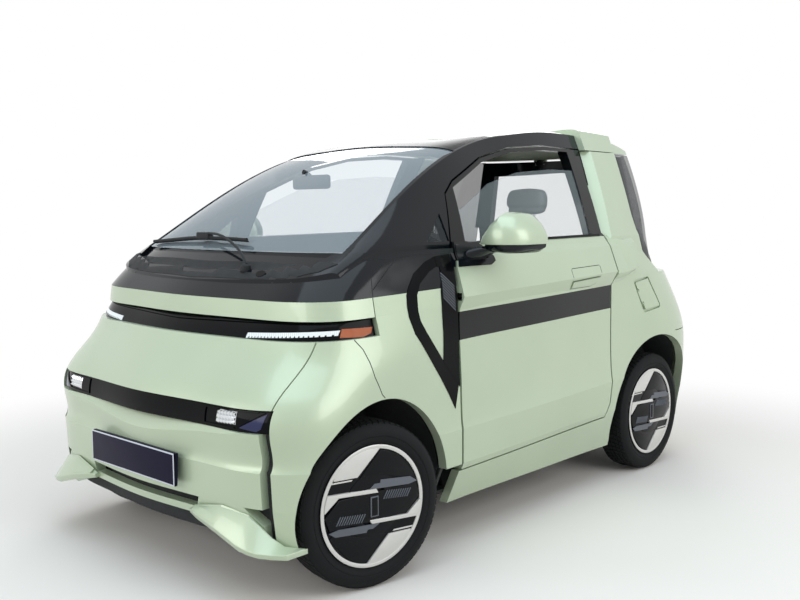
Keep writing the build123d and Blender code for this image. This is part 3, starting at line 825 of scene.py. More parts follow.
def sheet_of(outline: Iterable[Point], axis: str, height: float, cut_mm: float = 0.0) -> Piece:
    """A flat face with a drawn outline, sliced both ways so that it can follow a curved surface.

    Args:
        outline: its corners in metres: (y, z) for axis X, (x, z) for axis Y, (x, y) for axis Z.
        axis: the axis it faces.
        height: its place on that axis.
        cut_mm: distance between slices.

    Returns:
        The object.
    """
    spots = [{"X": (height, a, b), "Y": (a, height, b), "Z": (a, b, height)}[axis] for a, b in outline]
    piece = ring_of(spots, "NGON")
    if not cut_mm:
        return piece
    bpy.ops.object.mode_set(mode="EDIT")
    for k in (k for k in range(3) if "XYZ"[k] != axis):
        values = [spot[k] for spot in spots]
        normal = [float(k == j) for j in range(3)]
        for i in range(1, int((max(values) - min(values)) / (cut_mm * MM)) + 1):
            bpy.ops.mesh.select_all(action="SELECT")
            place = [n * (min(values) + i * cut_mm * MM) for n in normal]
            bpy.ops.mesh.bisect(plane_co=place, plane_no=normal)
    bpy.ops.object.mode_set(mode="OBJECT")
    return piece


class Side(Enum):
    """A side of the car: the axis it faces, a level clear of the car, and the way in along the axis."""

    LEFT = ("X", 1.0, -1)
    TOP = ("Z", 1.4, -1)
    FRONT = ("Y", -1.6, 1)
    REAR = ("Y", 1.8, -1)


def lay_on(piece: Piece, nodes: Sequence[str], side: Side, thick_mm: float) -> None:
    """Drop a flat sheet on to CAD surfaces and give it a thickness, let in by a little.

    Args:
        piece: the sheet, clear of the car.
        nodes: the CAD nodes it lies on.
        side: the side it comes from.
        thick_mm: how far it stands proud.
    """
    axis, height, toward = side.value
    sink_mm, touch = 0.6, 0.5 * MM
    form = merged([copied(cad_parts[name].data) for name in nodes])
    k = "XYZ".index(axis)
    add_modifier(piece, "SHRINKWRAP", target=form, wrap_method="PROJECT", use_negative_direction=toward < 0,
                 use_positive_direction=toward > 0, **{f"use_project_{axis.lower()}": True})
    bpy.data.objects.remove(form)
    landed = [v.co.copy() for v in piece.data.vertices if abs(v.co[k] - height) > touch]
    # A corner that misses the surface takes the level of the nearest one that lands on it.
    for vertex in piece.data.vertices:
        if abs(vertex.co[k] - height) <= touch and landed:
            flat = [i for i in range(3) if i != k]
            near = min(landed, key=lambda spot: sum((spot[i] - vertex.co[i]) ** 2 for i in flat))
            vertex.co[k] = near[k]
            log.info("a corner of %s missed at %s", nodes[0], [round(c, 3) for c in vertex.co])
    make_active(piece)
    open_edit()
    bpy.ops.mesh.extrude_region_move()
    way = Vector([toward * float(i == k) for i in range(3)])
    bpy.ops.transform.translate(value=-way * (thick_mm + sink_mm) * MM)
    bpy.ops.mesh.select_all(action="SELECT")
    bpy.ops.transform.translate(value=way * sink_mm * MM)
    close_edit()


def laid(outlines: Iterable[Sequence[Point]], side: Side, nodes: Sequence[str], cut_mm: float,
         thick_mm: float) -> Piece:
    """One piece made of sheets with drawn outlines, laid on CAD surfaces.

    Args:
        outlines: the sheets' corners, as for sheet_of.
        side: the side they come from.
        nodes: the CAD nodes they lie on.
        cut_mm: distance between slices.
        thick_mm: how far they stand proud.

    Returns:
        The object.
    """
    axis, height, _ = side.value
    piece = merged([sheet_of(outline, axis, height, cut_mm) for outline in outlines])
    lay_on(piece, nodes, side, thick_mm)
    return piece


def arc(radius: float, first: float, last: float, steps: int) -> list[Point]:
    """Points along an arc round the origin.

    Args:
        radius: its radius.
        first: its first angle in degrees.
        last: its last angle.
        steps: how many pieces it has.

    Returns:
        The points, both ends among them.
    """
    angles = [math.radians(first + (last - first) * i / steps) for i in range(steps + 1)]
    return [(radius * math.cos(a), radius * math.sin(a)) for a in angles]


def spun(section: Sequence[Point], steps: int = 128) -> Piece:
    """A closed section turned once round the X axis.

    Args:
        section: its corners (x, radius) in metres.
        steps: pieces in the turn.

    Returns:
        The object.
    """
    piece = ring_of([(x, 0, radius) for x, radius in section])
    open_edit()
    bpy.ops.mesh.spin(steps=steps, angle=2 * math.pi, center=(0, 0, 0), axis=(1, 0, 0))
    close_edit(weld=True)
    return piece


def slab(outline: Sequence[Point], axis: str, low: float, high: float, round_mm: float,
         front: int = 1) -> Piece:
    """A flat shape with a thickness and a bevelled front rim.

    Args:
        outline: its corners in metres, as for sheet_of.
        axis: the axis it faces.
        low: where its back lies on that axis.
        high: where its front lies.
        round_mm: the bevel of its front rim.
        front: 1 when the front is at high, -1 at low.

    Returns:
        The object.
    """
    k = "XYZ".index(axis)
    piece = sheet_of(outline, axis, low)
    open_edit()
    rise = [(high - low) * float(i == k) for i in range(3)]
    bpy.ops.mesh.extrude_region_move(TRANSFORM_OT_translate={"value": rise})
    bpy.ops.mesh.select_all(action="SELECT")
    bpy.ops.mesh.normals_make_consistent(inside=False)
    level = high if front > 0 else low
    choose(piece, lambda c, n: abs(c[k] - level) < 0.2 * MM and abs(n[k]) < 0.1, "EDGE")
    bpy.ops.mesh.bevel(offset=round_mm * MM, segments=2, affect="EDGES", clamp_overlap=True)
    bpy.ops.object.mode_set(mode="OBJECT")
    return piece


def plaque(low: Point, high: Point, axis: str, back: float, face: float, round_mm: float) -> Piece:
    """A rectangular slab between two corners; its bevelled rim is at the face, behind or before the back.

    Args:
        low: its lowest corner, as for sheet_of.
        high: its highest corner.
        axis: the axis it faces.
        back: where its back lies on that axis.
        face: where its front lies.
        round_mm: the bevel of its front rim.

    Returns:
        The object.
    """
    corners = [low, (high[0], low[1]), high, (low[0], high[1])]
    return slab(corners, axis, *sorted((back, face)), round_mm, 1 if face > back else -1)


def tube(points: Sequence[Spot], radius: float) -> Piece:
    """A round bar along a smooth line.

    Args:
        points: its path in metres.
        radius: its radius.

    Returns:
        The object, a mesh.
    """
    clear_selection()
    bpy.ops.curve.primitive_nurbs_path_add()
    line = bpy.context.object
    data = line.data
    data.splines.clear()
    spline = data.splines.new("NURBS")
    spline.points.add(len(points) - 1)
    for spot, place in zip(spline.points, points):
        spot.co = (*place, 1.0)
    spline.order_u, spline.use_endpoint_u = 3, True
    data.bevel_depth, data.bevel_resolution, data.use_fill_caps = radius, 3, True
    line.location = (0, 0, 0)
    make_active(line)
    bpy.ops.object.convert(target="MESH")
    return bpy.context.object


def strip(line: Sequence[Point], width_mm: float) -> list[Point]:
    """The outline of a narrow strip along a drawn line.

    Args:
        line: its points, in order.
        width_mm: its width.

    Returns:
        The outline's corners.
    """
    near, far = [], []
    for i, (a, b) in enumerate(line):
        before, after = line[max(i - 1, 0)], line[min(i + 1, len(line) - 1)]
        along = Vector((after[0] - before[0], after[1] - before[1])).normalized()
        step = width_mm * MM / 2
        near.append((a - along.y * step, b + along.x * step))
        far.append((a + along.y * step, b - along.x * step))
    return near + far[::-1]


def bridged(rings: Sequence[Sequence[Spot]], smooth: int = 0) -> Piece:
    """A closed form through rings of points.

    Args:
        rings: rings with the same number of points, in order.
        smooth: subdivision levels.

    Returns:
        The object.
    """
    piece = merged([ring_of(ring) for ring in rings])
    make_active(piece)
    apply_place()
    open_edit()
    bpy.ops.mesh.bridge_edge_loops()
    bpy.ops.mesh.select_all(action="DESELECT")
    bpy.ops.mesh.select_mode(type="EDGE")
    bpy.ops.mesh.select_non_manifold()
    bpy.ops.mesh.edge_face_add()
    close_edit()
    if smooth:
        add_modifier(piece, "SUBSURF", levels=smooth, render_levels=smooth)
    return piece


# ---------------------------------------------------------------- wheels
HALF_TURN = Matrix.Rotation(math.pi, 4, "X")


@dataclass
class Wheel:
    """A wheel's cover, tyre and disc: silver blades on a gloss black cover with half-turn symmetry."""

    name: str
    side: int
    axle_y: float
    middle_x: float
    steer: float = 0.0
    pivot_x: float = 0.568
    axle_z: float = 0.279
    face: float = 0.063
    rim: float = 0.2036
    blade_tip: float = 0.1915
    tread: float = 0.2745
    half_width: float = 0.0725
    blocks: int = 72
    block_gap: float = 0.0016
    groove: float = 0.0038
    shoulder: float = 0.268
    block_lean: float = 0.105

    def home(self) -> Matrix:
        """Find the wheel's place on the car.

        Returns:
            The matrix that takes a piece drawn round the axle there.
        """
        pivot = Vector((self.side * self.pivot_x, self.axle_y, 0))
        place = Matrix.Translation((self.side * self.middle_x, self.axle_y, self.axle_z))
        if self.side < 0:
            place = place @ Matrix.Rotation(math.pi, 4, "Z")
        turn = Matrix.Rotation(math.radians(self.steer), 4, "Z")
        return Matrix.Translation(pivot) @ turn @ Matrix.Translation(-pivot) @ place

    def fit(self, pieces: Sequence[Piece], part: str, finish: Finish, angle: float = 35) -> Piece:
        """Put pieces drawn round the axle on their wheel, as one.

        Args:
            pieces: the pieces.
            part: what they make.
            finish: their finish.
            angle: edges sharper than this, in degrees, stay sharp.

        Returns:
            The one piece.
        """
        piece = merged(pieces)
        make_active(piece)
        apply_place()
        piece.data.transform(self.home())
        return settle(piece, f"{part}_{self.name}", f"wheel_{self.name}", finish, angle)

    def both(self, outline: Sequence[Point], low_mm: float, high_mm: float,
             round_mm: float = 1.2) -> list[Piece]:
        """A raised shape on the cover, and the same half a turn on.

        Args:
            outline: its corners (y, z) in metres round the axle.
            low_mm: where it starts, from the face.
            high_mm: where it ends.
            round_mm: bevel of its front rim.

        Returns:
            Both pieces.
        """
        piece = slab(outline, "X", self.face + low_mm * MM, self.face + high_mm * MM, round_mm)
        return [piece, twin(piece, HALF_TURN)]

    def silver(self) -> None:
        """The bright ring, the two end blades, the two long blades and the two thin bars."""
        x = self.face
        ring = spun(((x - 0.004, self.rim), (x + 0.005, self.rim), (x + 0.0062, 0.2018), (x + 0.0062, 0.1945),
                     (x + 0.0045, 0.1905), (x - 0.004, 0.1905)))
        end_blade = [(-0.153, 0.108), (-0.062, 0.106), (0.027, 0.189),
                     *arc(self.blade_tip, 82, 145, 16)[1:-1]]
        long_blade = [(-0.178, 0.067), (0.009, 0.058), (0.018, 0.043), (-0.136, 0.052), (-0.190, 0.010),
                      *arc(self.blade_tip, 177, 160, 6)[1:-1]]
        thin_bar = [(-0.164, 0.0985), (-0.084, 0.0965), (-0.079, 0.1015), (-0.159, 0.1035)]
        parts = [ring]
        for outline, high_mm in ((end_blade, 5.5), (long_blade, 9), (thin_bar, 3)):
            parts += self.both(outline, -4, high_mm)
        self.fit(parts, "silver_blades", Finish.SILVER)

    def cover(self) -> None:
        """The black hub bar, the dished ring round the hub, the edge steps and the plain cap."""
        x = self.face
        dish = spun(((x - 0.003, 0.112), (x + 0.0015, 0.111), (x + 0.0025, 0.104), (x + 0.0075, 0.078),
                     (x + 0.0078, 0.066), (x - 0.003, 0.060)), 96)
        half_bar = [(-0.136, 0.0445), (0.172, 0.052), (0.190, 0.006)]
        hub = slab(half_bar + [(-y, -z) for y, z in half_bar], "X", x - 0.004, x + 0.0085, 4.0)
        cap = plaque((-0.0155, -0.034), (0.0155, 0.034), "X", x + 0.006, x + 0.0125, 1.0)
        centre = plaque((-0.0115, -0.030), (0.0115, 0.030), "X", x + 0.012, x + 0.0135, 0.6)
        # A raised step beside each end blade, so that the black ground is never one flat disc.
        step = [(-0.052, 0.100), (0.046, 0.098), (0.150, 0.062), (0.172, 0.078), (0.100, 0.160),
                (0.034, 0.184)]
        self.fit([dish, hub, *self.both(step, -4, 3.2, 2.0)], "cover_relief", Finish.WHEEL)
        self.fit([cap], "plain_cap", Finish.GREY)
        self.fit([centre], "cap_field", Finish.WHEEL)

    def grey_ramps(self) -> None:
        """The grey sloped flank above each half of the hub bar, from the blade's tip to the ring."""
        x = self.face
        outline = [(-0.020, 0.060), (0.020, 0.084), (0.150, 0.074), (0.176, 0.056), (0.140, 0.050)]
        sheet = sheet_of(outline, "X", x + 0.0092)
        # The outer edge lies deeper than the edge along the bar.
        for vertex in sheet.data.vertices:
            if vertex.co.z > 0.070:
                vertex.co.x = x + 0.0040
        add_modifier(sheet, "SOLIDIFY", thickness=0.003, offset=0)
        self.fit([sheet, twin(sheet, HALF_TURN)], "grey_ramps", Finish.GREY)

    def ribs(self) -> None:
        """The slanted cooling ribs in each half of the hub bar."""
        parts = []
        for y in (-0.150 + i * 0.0095 for i in range(11)):
            rib = [(y, -0.036), (y + 0.004, -0.036), (y + 0.020, -0.008), (y + 0.016, -0.008)]
            # The row runs parallel to the bar's sloping edge.
            parts += self.both([(a, b - 0.09 * (a + 0.15)) for a, b in rib], 7.8, 11.6, 0.8)
        self.fit(parts, "cooling_ribs", Finish.GREY)

    def tyre(self) -> None:
        """The tyre: a spun carcass with bead and shoulder ribs, and tread blocks raised between grooves."""
        w, t = self.half_width, self.tread
        tread = [(0.0, t), (0.020, t), (0.0405, t - 0.001), (w - 0.012, t - 0.0045)]
        # The sidewall: how far in from the widest point, and the radius there.
        wall = [(0.006, 0.262), (0.0025, 0.254), (0.0004, 0.246), (0.0, 0.240), (0.0004, 0.234),
                (0.0022, 0.2325), (0.0030, 0.2300), (0.0016, 0.2285), (0.0030, 0.222), (0.0068, 0.215),
                (0.0096, 0.211), (0.0098, 0.2095), (0.0084, 0.2080), (0.0110, 0.2050)]
        bead = [(0.060, 0.1995), (0.056, 0.190)]
        half = tread + [(w - inset, radius) for inset, radius in wall] + bead
        tyre = spun(half + [(-x, radius) for x, radius in reversed(half[1:])], self.blocks)
        bpy.ops.object.mode_set(mode="EDIT")
        choose(tyre, lambda c, n: math.hypot(c.y, c.z) > t - 0.0069 and abs(c.x) < w - 0.011)
        bpy.ops.mesh.inset(use_individual=True, thickness=self.block_gap, depth=0.0)
        bpy.ops.mesh.inset(use_individual=True, thickness=0.0006, depth=self.groove)
        bpy.ops.object.mode_set(mode="OBJECT")
        # The blocks lean, more towards the shoulders, as on a road tyre.
        for vertex in tyre.data.vertices:
            if math.hypot(vertex.co.y, vertex.co.z) > self.shoulder:
                lean = self.block_lean * (vertex.co.x / w) ** 2
                vertex.co = Matrix.Rotation(lean, 4, "X") @ vertex.co
        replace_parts(self.fit([tyre], "road_tyre", Finish.RUBBER, 30), f"tyre_{self.name}")

    def build(self) -> None:
        """Build everything on this wheel."""
        self.silver()
        self.cover()
        self.grey_ramps()
        self.ribs()
        self.tyre()


# ---------------------------------------------------------------- front and rear trim
@dataclass
class Nose:
    """The lamps in the light strip and grille band, the plates, the duct ribs and the shut lines."""

    bar_from: float = 0.385
    bar_to: float = 0.676
    lamp_inner: float = 0.361
    lamp_low: float = 0.571
    lamp_high: float = 0.626
    plate_half: float = 0.260
    plate_edge: float = 0.005

    def light_bars(self) -> None:
        """The white running light along the strip's lower edge, its teeth, the amber lamp and the ledge."""
        a, b = self.bar_from, self.bar_to
        white = [(a, 0.830), (b, 0.847), (b, 0.863), (a, 0.846)]
        paired(laid([white], Side.FRONT, ["light_strip"], 10, 3.0), "running_light", Finish.WHITE)
        # Dark teeth stand along the light's lower edge.
        feet = ((a + 0.012 + 0.0135 * i, 0.8298 + 0.00076 * i) for i in range(21))
        teeth = ([(x, z), (x + 0.0035, z), (x + 0.0035, z + 0.0055), (x, z + 0.0055)] for x, z in feet)
        paired(laid(teeth, Side.FRONT, ["light_strip"], 0, 3.8), "light_teeth", Finish.LAMP_BLACK)
        amber = [(-1.121, 0.840), (-1.040, 0.837), (-1.004, 0.846), (-0.994, 0.865), (-1.110, 0.867)]
        paired(laid([amber], Side.LEFT, ["light_strip"], 10, 2.5), "amber_lamp", Finish.AMBER)
        lip = [(0.0, 0.870), (0.30, 0.877), (0.64, 0.886), (0.64, 0.891), (0.30, 0.882), (0.0, 0.875)]
        paired(laid([lip], Side.FRONT, ["light_strip"], 12, 5.0), "strip_ledge", Finish.LAMP_BLACK)

    def headlamps(self) -> None:
        """In each end of the grille band: a chrome reflector of stepped bowls, a bezel and a corner panel."""
        bowl = [(0.424, 0.580), (0.512, 0.583), (0.512, 0.624), (0.424, 0.622)]
        reflector = laid([bowl], Side.FRONT, ["grille_band"], 14, 1.4)
        bpy.ops.object.mode_set(mode="EDIT")
        choose(reflector, lambda c, n: n.y < -0.5)
        bpy.ops.mesh.inset(use_individual=True, thickness=0.0012, depth=0.0010)
        bpy.ops.mesh.poke(offset=0.0062)
        bpy.ops.object.mode_set(mode="OBJECT")
        paired(reflector, "reflector", Finish.CHROME, 20)
        x0, x1, low, high = self.lamp_inner, self.lamp_inner + 0.006, self.lamp_low, self.lamp_high
        bezel = ([(x0, low), (x1, low), (x1, high), (x0, high)],
                 [(x1, high - 0.004), (0.588, high + 0.001), (0.594, high + 0.006), (x1, high)],
                 [(x1, low), (0.512, low + 0.001), (0.508, low + 0.005), (x1, low + 0.004)],
                 [(0.512, 0.575), (0.520, 0.573), (0.612, 0.628), (0.598, 0.629)])
        paired(laid(bezel, Side.FRONT, ["grille_band"], 12, 4.0), "lamp_bezel", Finish.LAMP_BLACK, 20)
        corner = [(0.527, 0.576), (0.590, 0.569), (0.604, 0.578), (0.617, 0.624)]
        paired(laid([corner], Side.FRONT, ["grille_band"], 10, 2.6), "lamp_corner", Finish.NAVY)

    def duct_ribs(self) -> None:
        """The stacked ribs down the slot between bumper and fender."""
        ribs = ([(0.614, z), (0.631, z + 0.001), (0.631, z + 0.005), (0.614, z + 0.004)]
                for z in (0.352 + 0.0125 * i for i in range(15)))
        paired(laid(ribs, Side.FRONT, ["front_insert"], 9, 3.0), "duct_ribs", Finish.GRAIN)

    def plates(self) -> None:
        """A blank plate at each end: a pale rim with a navy field a little proud of it."""
        half, edge = self.plate_half, self.plate_edge
        for end, y, low, high, out in (("front", -1.471, 0.350, 0.460, -MM),
                                       ("rear", 1.448, 0.442, 0.552, MM)):
            back, middle, top = y + 0.4 * out, y + 1.4 * out, y + 2.2 * out
            rim = plaque((-half, low), (half, high), "Y", back, middle, 0.6)
            settle(rim, f"plate_rim_{end}", "body", Finish.PLATE_RIM)
            blank = plaque((edge - half, low + edge), (half - edge, high - edge), "Y", middle, top, 0.5)
            settle(blank, f"plate_field_{end}", "body", Finish.PLATE)

    def shut_lines(self) -> None:
        """The dark joint down the fender, from the light strip's end to the wheel arch."""
        line = strip([(-1.086, 0.832), (-1.060, 0.800), (-1.043, 0.758), (-1.030, 0.708), (-0.999, 0.648),
                      (-0.984, 0.634)], 3.0)
        paired(laid([line], Side.LEFT, ["front_fenders"], 12, 0.25), "fender_joint", Finish.SEAL)

    def build(self) -> None:
        """Build all of the nose."""
        self.light_bars()
        self.headlamps()
        self.duct_ribs()
        self.plates()
        self.shut_lines()


@dataclass
class Cowl:
    """The panel ahead of the windscreen: its insert, wiper, washer cap and joints, and the flank loops."""

    flank: tuple[str, ...] = ("front_fenders", "cowl_panel", "glasshouse_frame")
    hub: Spot = (0.250, -1.158, 1.040)
    cap_middle: Point = (0.345, -1.168)
    cap_half: Point = (0.022, 0.011)

    def insert(self) -> None:
        """The leather-grained insert let into the gloss cowl."""
        half = [(0.0, -1.209), (0.276, -1.193), (0.418, -1.177), (0.497, -1.161), (0.572, -1.111),
                (0.606, -1.056), (0.540, -1.076), (0.393, -1.104), (0.102, -1.126), (0.0, -1.129)]
        outline = half + [(-x, y) for x, y in reversed(half[1:-1])]
        settle(laid([outline], Side.TOP, ["cowl_panel"], 20, 3.0), "cowl_insert", "body", Finish.GRAIN)

    def loops(self) -> None:
        """The gloss black loop on each flank: a bowed front leg that arches over into an upright rear leg."""
        front_leg = [(-0.608, 0.537), (-0.647, 0.600), (-0.686, 0.656), (-0.771, 0.763), (-0.816, 0.827),
                     (-0.832, 0.883), (-0.835, 0.921), (-0.831, 0.959), (-0.816, 0.984), (-0.779, 1.028),
                     (-0.719, 1.063), (-0.665, 1.081), (-0.665, 1.047), (-0.706, 1.031), (-0.761, 0.992),
                     (-0.782, 0.955), (-0.785, 0.900), (-0.778, 0.865), (-0.755, 0.824), (-0.723, 0.779),
                     (-0.669, 0.713), (-0.588, 0.620)]
        rear_leg = [(-0.664, 1.081), (-0.652, 1.083), (-0.588, 1.087), (-0.581, 0.950), (-0.579, 0.810),
                    (-0.580, 0.612), (-0.672, 0.712), (-0.664, 0.819), (-0.663, 0.962), (-0.652, 1.010),
                    (-0.652, 1.046), (-0.664, 1.047)]
        paired(laid([front_leg], Side.LEFT, self.flank, 12, 2.2), "loop_front_leg", Finish.LAMP_BLACK)
        paired(laid([rear_leg], Side.LEFT, self.flank, 12, 2.8), "loop_rear_leg", Finish.LAMP_BLACK)

    def loop_ribs(self) -> None:
        """The slanted ribs on the upper part of each loop's rear leg."""
        ribs = ([(-0.655, z), (-0.594, z - 0.050), (-0.594, z - 0.0455), (-0.655, z + 0.0045)]
                for z in (0.937 + 0.0105 * i for i in range(9)))
        paired(laid(ribs, Side.LEFT, self.flank, 14, 4.0), "loop_ribs", Finish.GREY)

    def joints(self) -> None:
        """The joint between cowl and door hoop, and the slanted cap let into the cowl ahead of it."""
        lines = [strip([(-0.976, 1.080), (-0.842, 1.082), (-0.735, 1.090), (-0.592, 1.093)], 2.6),
                 strip([(-0.860, 1.070), (-0.904, 1.065), (-0.969, 1.024), (-0.978, 0.985),
                        (-0.981, 0.962)], 2.4),
                 strip([(-0.842, 1.079), (-0.905, 1.035), (-0.974, 0.984)], 2.4)]
        paired(laid(lines, Side.LEFT, self.flank, 15, 0.3), "cowl_joints", Finish.SEAL)

    def wiper(self) -> None:
        """The single wiper at rest: a tapered arm from its cap, a hinged blade carrier and its rubber lip."""
        arm = tube([(0.250, -1.158, 1.062), (0.225, -1.145, 1.098), (0.060, -1.105, 1.158),
                    (-0.095, -1.066, 1.165), (-0.125, -1.058, 1.156)], 0.0048)
        spine = [(-0.505, -1.034, 1.124), (-0.300, -1.060, 1.137), (-0.110, -1.066, 1.149),
                 (0.155, -1.074, 1.142)]
        carrier = tube(spine, 0.0062)
        lip = tube([(x, y + 0.006, z - 0.007) for x, y, z in spine], 0.0022)
        hub = spun(((0.0, 0.0045), (0.0, 0.019), (0.010, 0.019), (0.022, 0.014), (0.026, 0.0045)), 32)
        hub.data.transform(Matrix.Translation(self.hub) @ Matrix.Rotation(math.radians(-72), 4, "Y"))
        clip = block((-0.150, -1.078, 1.140), (-0.075, -1.052, 1.166), 4.0)
        settle(merged([arm, carrier, hub, clip]), "wiper_arm", "body", Finish.GRAIN)
        settle(lip, "wiper_lip", "body", Finish.SEAL)

    def jet_cap(self) -> None:
        """The oval cap over the washer filler."""
        (x, y), (half_x, half_y) = self.cap_middle, self.cap_half
        outline = [(x + half_x * a, y + half_y * b) for a, b in arc(1.0, 0, 337.5, 15)]
        settle(laid([outline], Side.TOP, ["cowl_panel"], 0, 5.0), "washer_cap", "body", Finish.LAMP_BLACK)

    def build(self) -> None:
        """Build the cowl's pieces."""
        self.insert()
        self.loops()
        self.loop_ribs()
        self.joints()
        self.wiper()
        self.jet_cap()


# ---------------------------------------------------------------- doors, mirrors and tail
@dataclass
class Mirror:
    """A door mirror: a painted shell with a straight lower rim on a black base and arm, with its glass."""

    side: int
    rim: float = 1.119
    # Each section of the shell and of the base: its x, its front and rear, and the peak of its arch.
    shell: tuple[tuple[float, float, float, float], ...] = (
        (0.729, -0.462, -0.345, 1.137), (0.745, -0.478, -0.312, 1.166), (0.775, -0.488, -0.288, 1.207),
        (0.812, -0.490, -0.279, 1.236), (0.848, -0.480, -0.274, 1.230), (0.880, -0.456, -0.273, 1.202),
        (0.898, -0.424, -0.277, 1.168), (0.903, -0.398, -0.290, 1.142))
    base: tuple[tuple[float, float, float, float], ...] = (
        (0.750, -0.462, -0.330, 1.103), (0.772, -0.480, -0.296, 1.089), (0.830, -0.481, -0.282, 1.085),
        (0.876, -0.456, -0.279, 1.088), (0.896, -0.424, -0.286, 1.102))
    # Each section of the arm: its x, its front and rear, and its foot and top.
    arm: tuple[tuple[float, float, float, float, float], ...] = (
        (0.688, -0.520, -0.380, 1.052, 1.108), (0.700, -0.512, -0.378, 1.056, 1.110),
        (0.726, -0.490, -0.372, 1.072, 1.116), (0.756, -0.470, -0.352, 1.090, 1.117),
        (0.810, -0.462, -0.340, 1.098, 1.118))

    def half_ring(self, x: float, front: float, rear: float, peak: float, power: float) -> list[Spot]:
        """One section of the shell or the base: straight along the rim, arched above or below it.

        Args:
            x: its place.
            front: its foremost point.
            rear: its back, at the glass.
            peak: the arch's furthest height.
            power: how full the arch is; less is fuller.

        Returns:
            Thirteen points.
        """
        points = []
        for a in (math.pi * i / 12 for i in range(13)):
            c, s = math.cos(a), math.sin(a)
            y = (front + rear) / 2 + (rear - front) / 2 * math.copysign(abs(c) ** (0.45 if c > 0 else 0.8), c)
            points.append((x, y, self.rim + (peak - self.rim) * max(s, 0.0) ** power))
        return points

    def build(self) -> None:
        """Build the mirror; the right one is the left one seen in a glass."""
        name = "left" if self.side > 0 else "right"
        shell = bridged([self.half_ring(*station, 0.62) for station in self.shell])
        rounded(shell, 3, 3, 50)
        base = bridged([self.half_ring(*station, 0.50) for station in self.base])
        arm = bridged([[(x, front, low), (x, rear, low), (x, rear, high), (x, front, high)]
                       for x, front, rear, low, high in self.arm], 2)
        glass = slab([(0.752, 1.126), (0.890, 1.126), (0.893, 1.146), (0.872, 1.190), (0.840, 1.218),
                      (0.806, 1.222), (0.772, 1.196), (0.752, 1.160)], "Y", -0.2790, -0.2745, 1.0)
        pieces, mirrored = [], self.side < 0
        for piece, part, finish, angle in ((shell, "mirror_shell", Finish.PAINT, 30),
                                           (base, "mirror_foot", Finish.GLOSS, 50),
                                           (arm, "mirror_arm", Finish.GLOSS, 60),
                                           (glass, "mirror_glass", Finish.CHROME, 30)):
            if mirrored:
                piece.data.transform(Matrix.Scale(-1, 4, (1, 0, 0)))
            pieces.append(settle(piece, f"{part}_{name}", f"door_{name}", finish, angle, turned=mirrored))
        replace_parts(pieces[0], f"mirror_{name}")


@dataclass
class Panels:
    """The flowing lower lip at each end of the front bumper, and the pod behind each door."""

    # Each section of the lip: x, then (y, z) of its upper edge, nose, toe and heel.
    sections: tuple[tuple[float, tuple[Point, ...]], ...] = (
        (0.300, ((-1.430, 0.284), (-1.446, 0.280), (-1.442, 0.266), (-1.404, 0.266))),
        (0.345, ((-1.436, 0.299), (-1.456, 0.276), (-1.448, 0.256), (-1.400, 0.256))),
        (0.450, ((-1.430, 0.316), (-1.460, 0.253), (-1.450, 0.232), (-1.392, 0.232))),
        (0.560, ((-1.409, 0.306), (-1.458, 0.222), (-1.448, 0.201), (-1.374, 0.201))),
        (0.596, ((-1.397, 0.283), (-1.450, 0.213), (-1.440, 0.194), (-1.356, 0.194))),
        (0.632, ((-1.376, 0.246), (-1.437, 0.207), (-1.428, 0.190), (-1.332, 0.190))),
        (0.668, ((-1.352, 0.218), (-1.411, 0.205), (-1.403, 0.187), (-1.312, 0.187))),
        (0.706, ((-1.300, 0.205), (-1.378, 0.205), (-1.372, 0.186), (-1.286, 0.186))))

    def lips(self) -> None:
        """The lip: a ramp that widens from the intake's end and runs out thin under the fender."""
        lip = bridged([[(x, *edge) for edge in edges] for x, edges in self.sections])
        rounded(lip, 3, 3, 28)
        paired(lip, "bumper_lip", Finish.PAINT, 40)

    def pods(self) -> None:
        """The faceted pod that carries the door's shoulder on over the body side."""
        foot = [(0.668, 0.508, 1.124), (0.678, 0.612, 1.114), (0.686, 0.702, 1.100), (0.718, 0.704, 1.010),
                (0.724, 0.686, 0.968), (0.706, 0.612, 0.936), (0.700, 0.508, 0.913)]
        face = [(0.681, 0.508, 1.117), (0.690, 0.612, 1.107), (0.699, 0.690, 1.092), (0.733, 0.691, 1.012),
                (0.739, 0.676, 0.979), (0.7405, 0.612, 0.970), (0.744, 0.508, 0.962)]
        pod = bridged([foot, face])
        rounded(pod, 2.5, 2, 25)
        paired(pod, "shoulder_pod", Finish.PAINT, 25)

    def build(self) -> None:
        """Build the panels."""
        self.lips()
        self.pods()


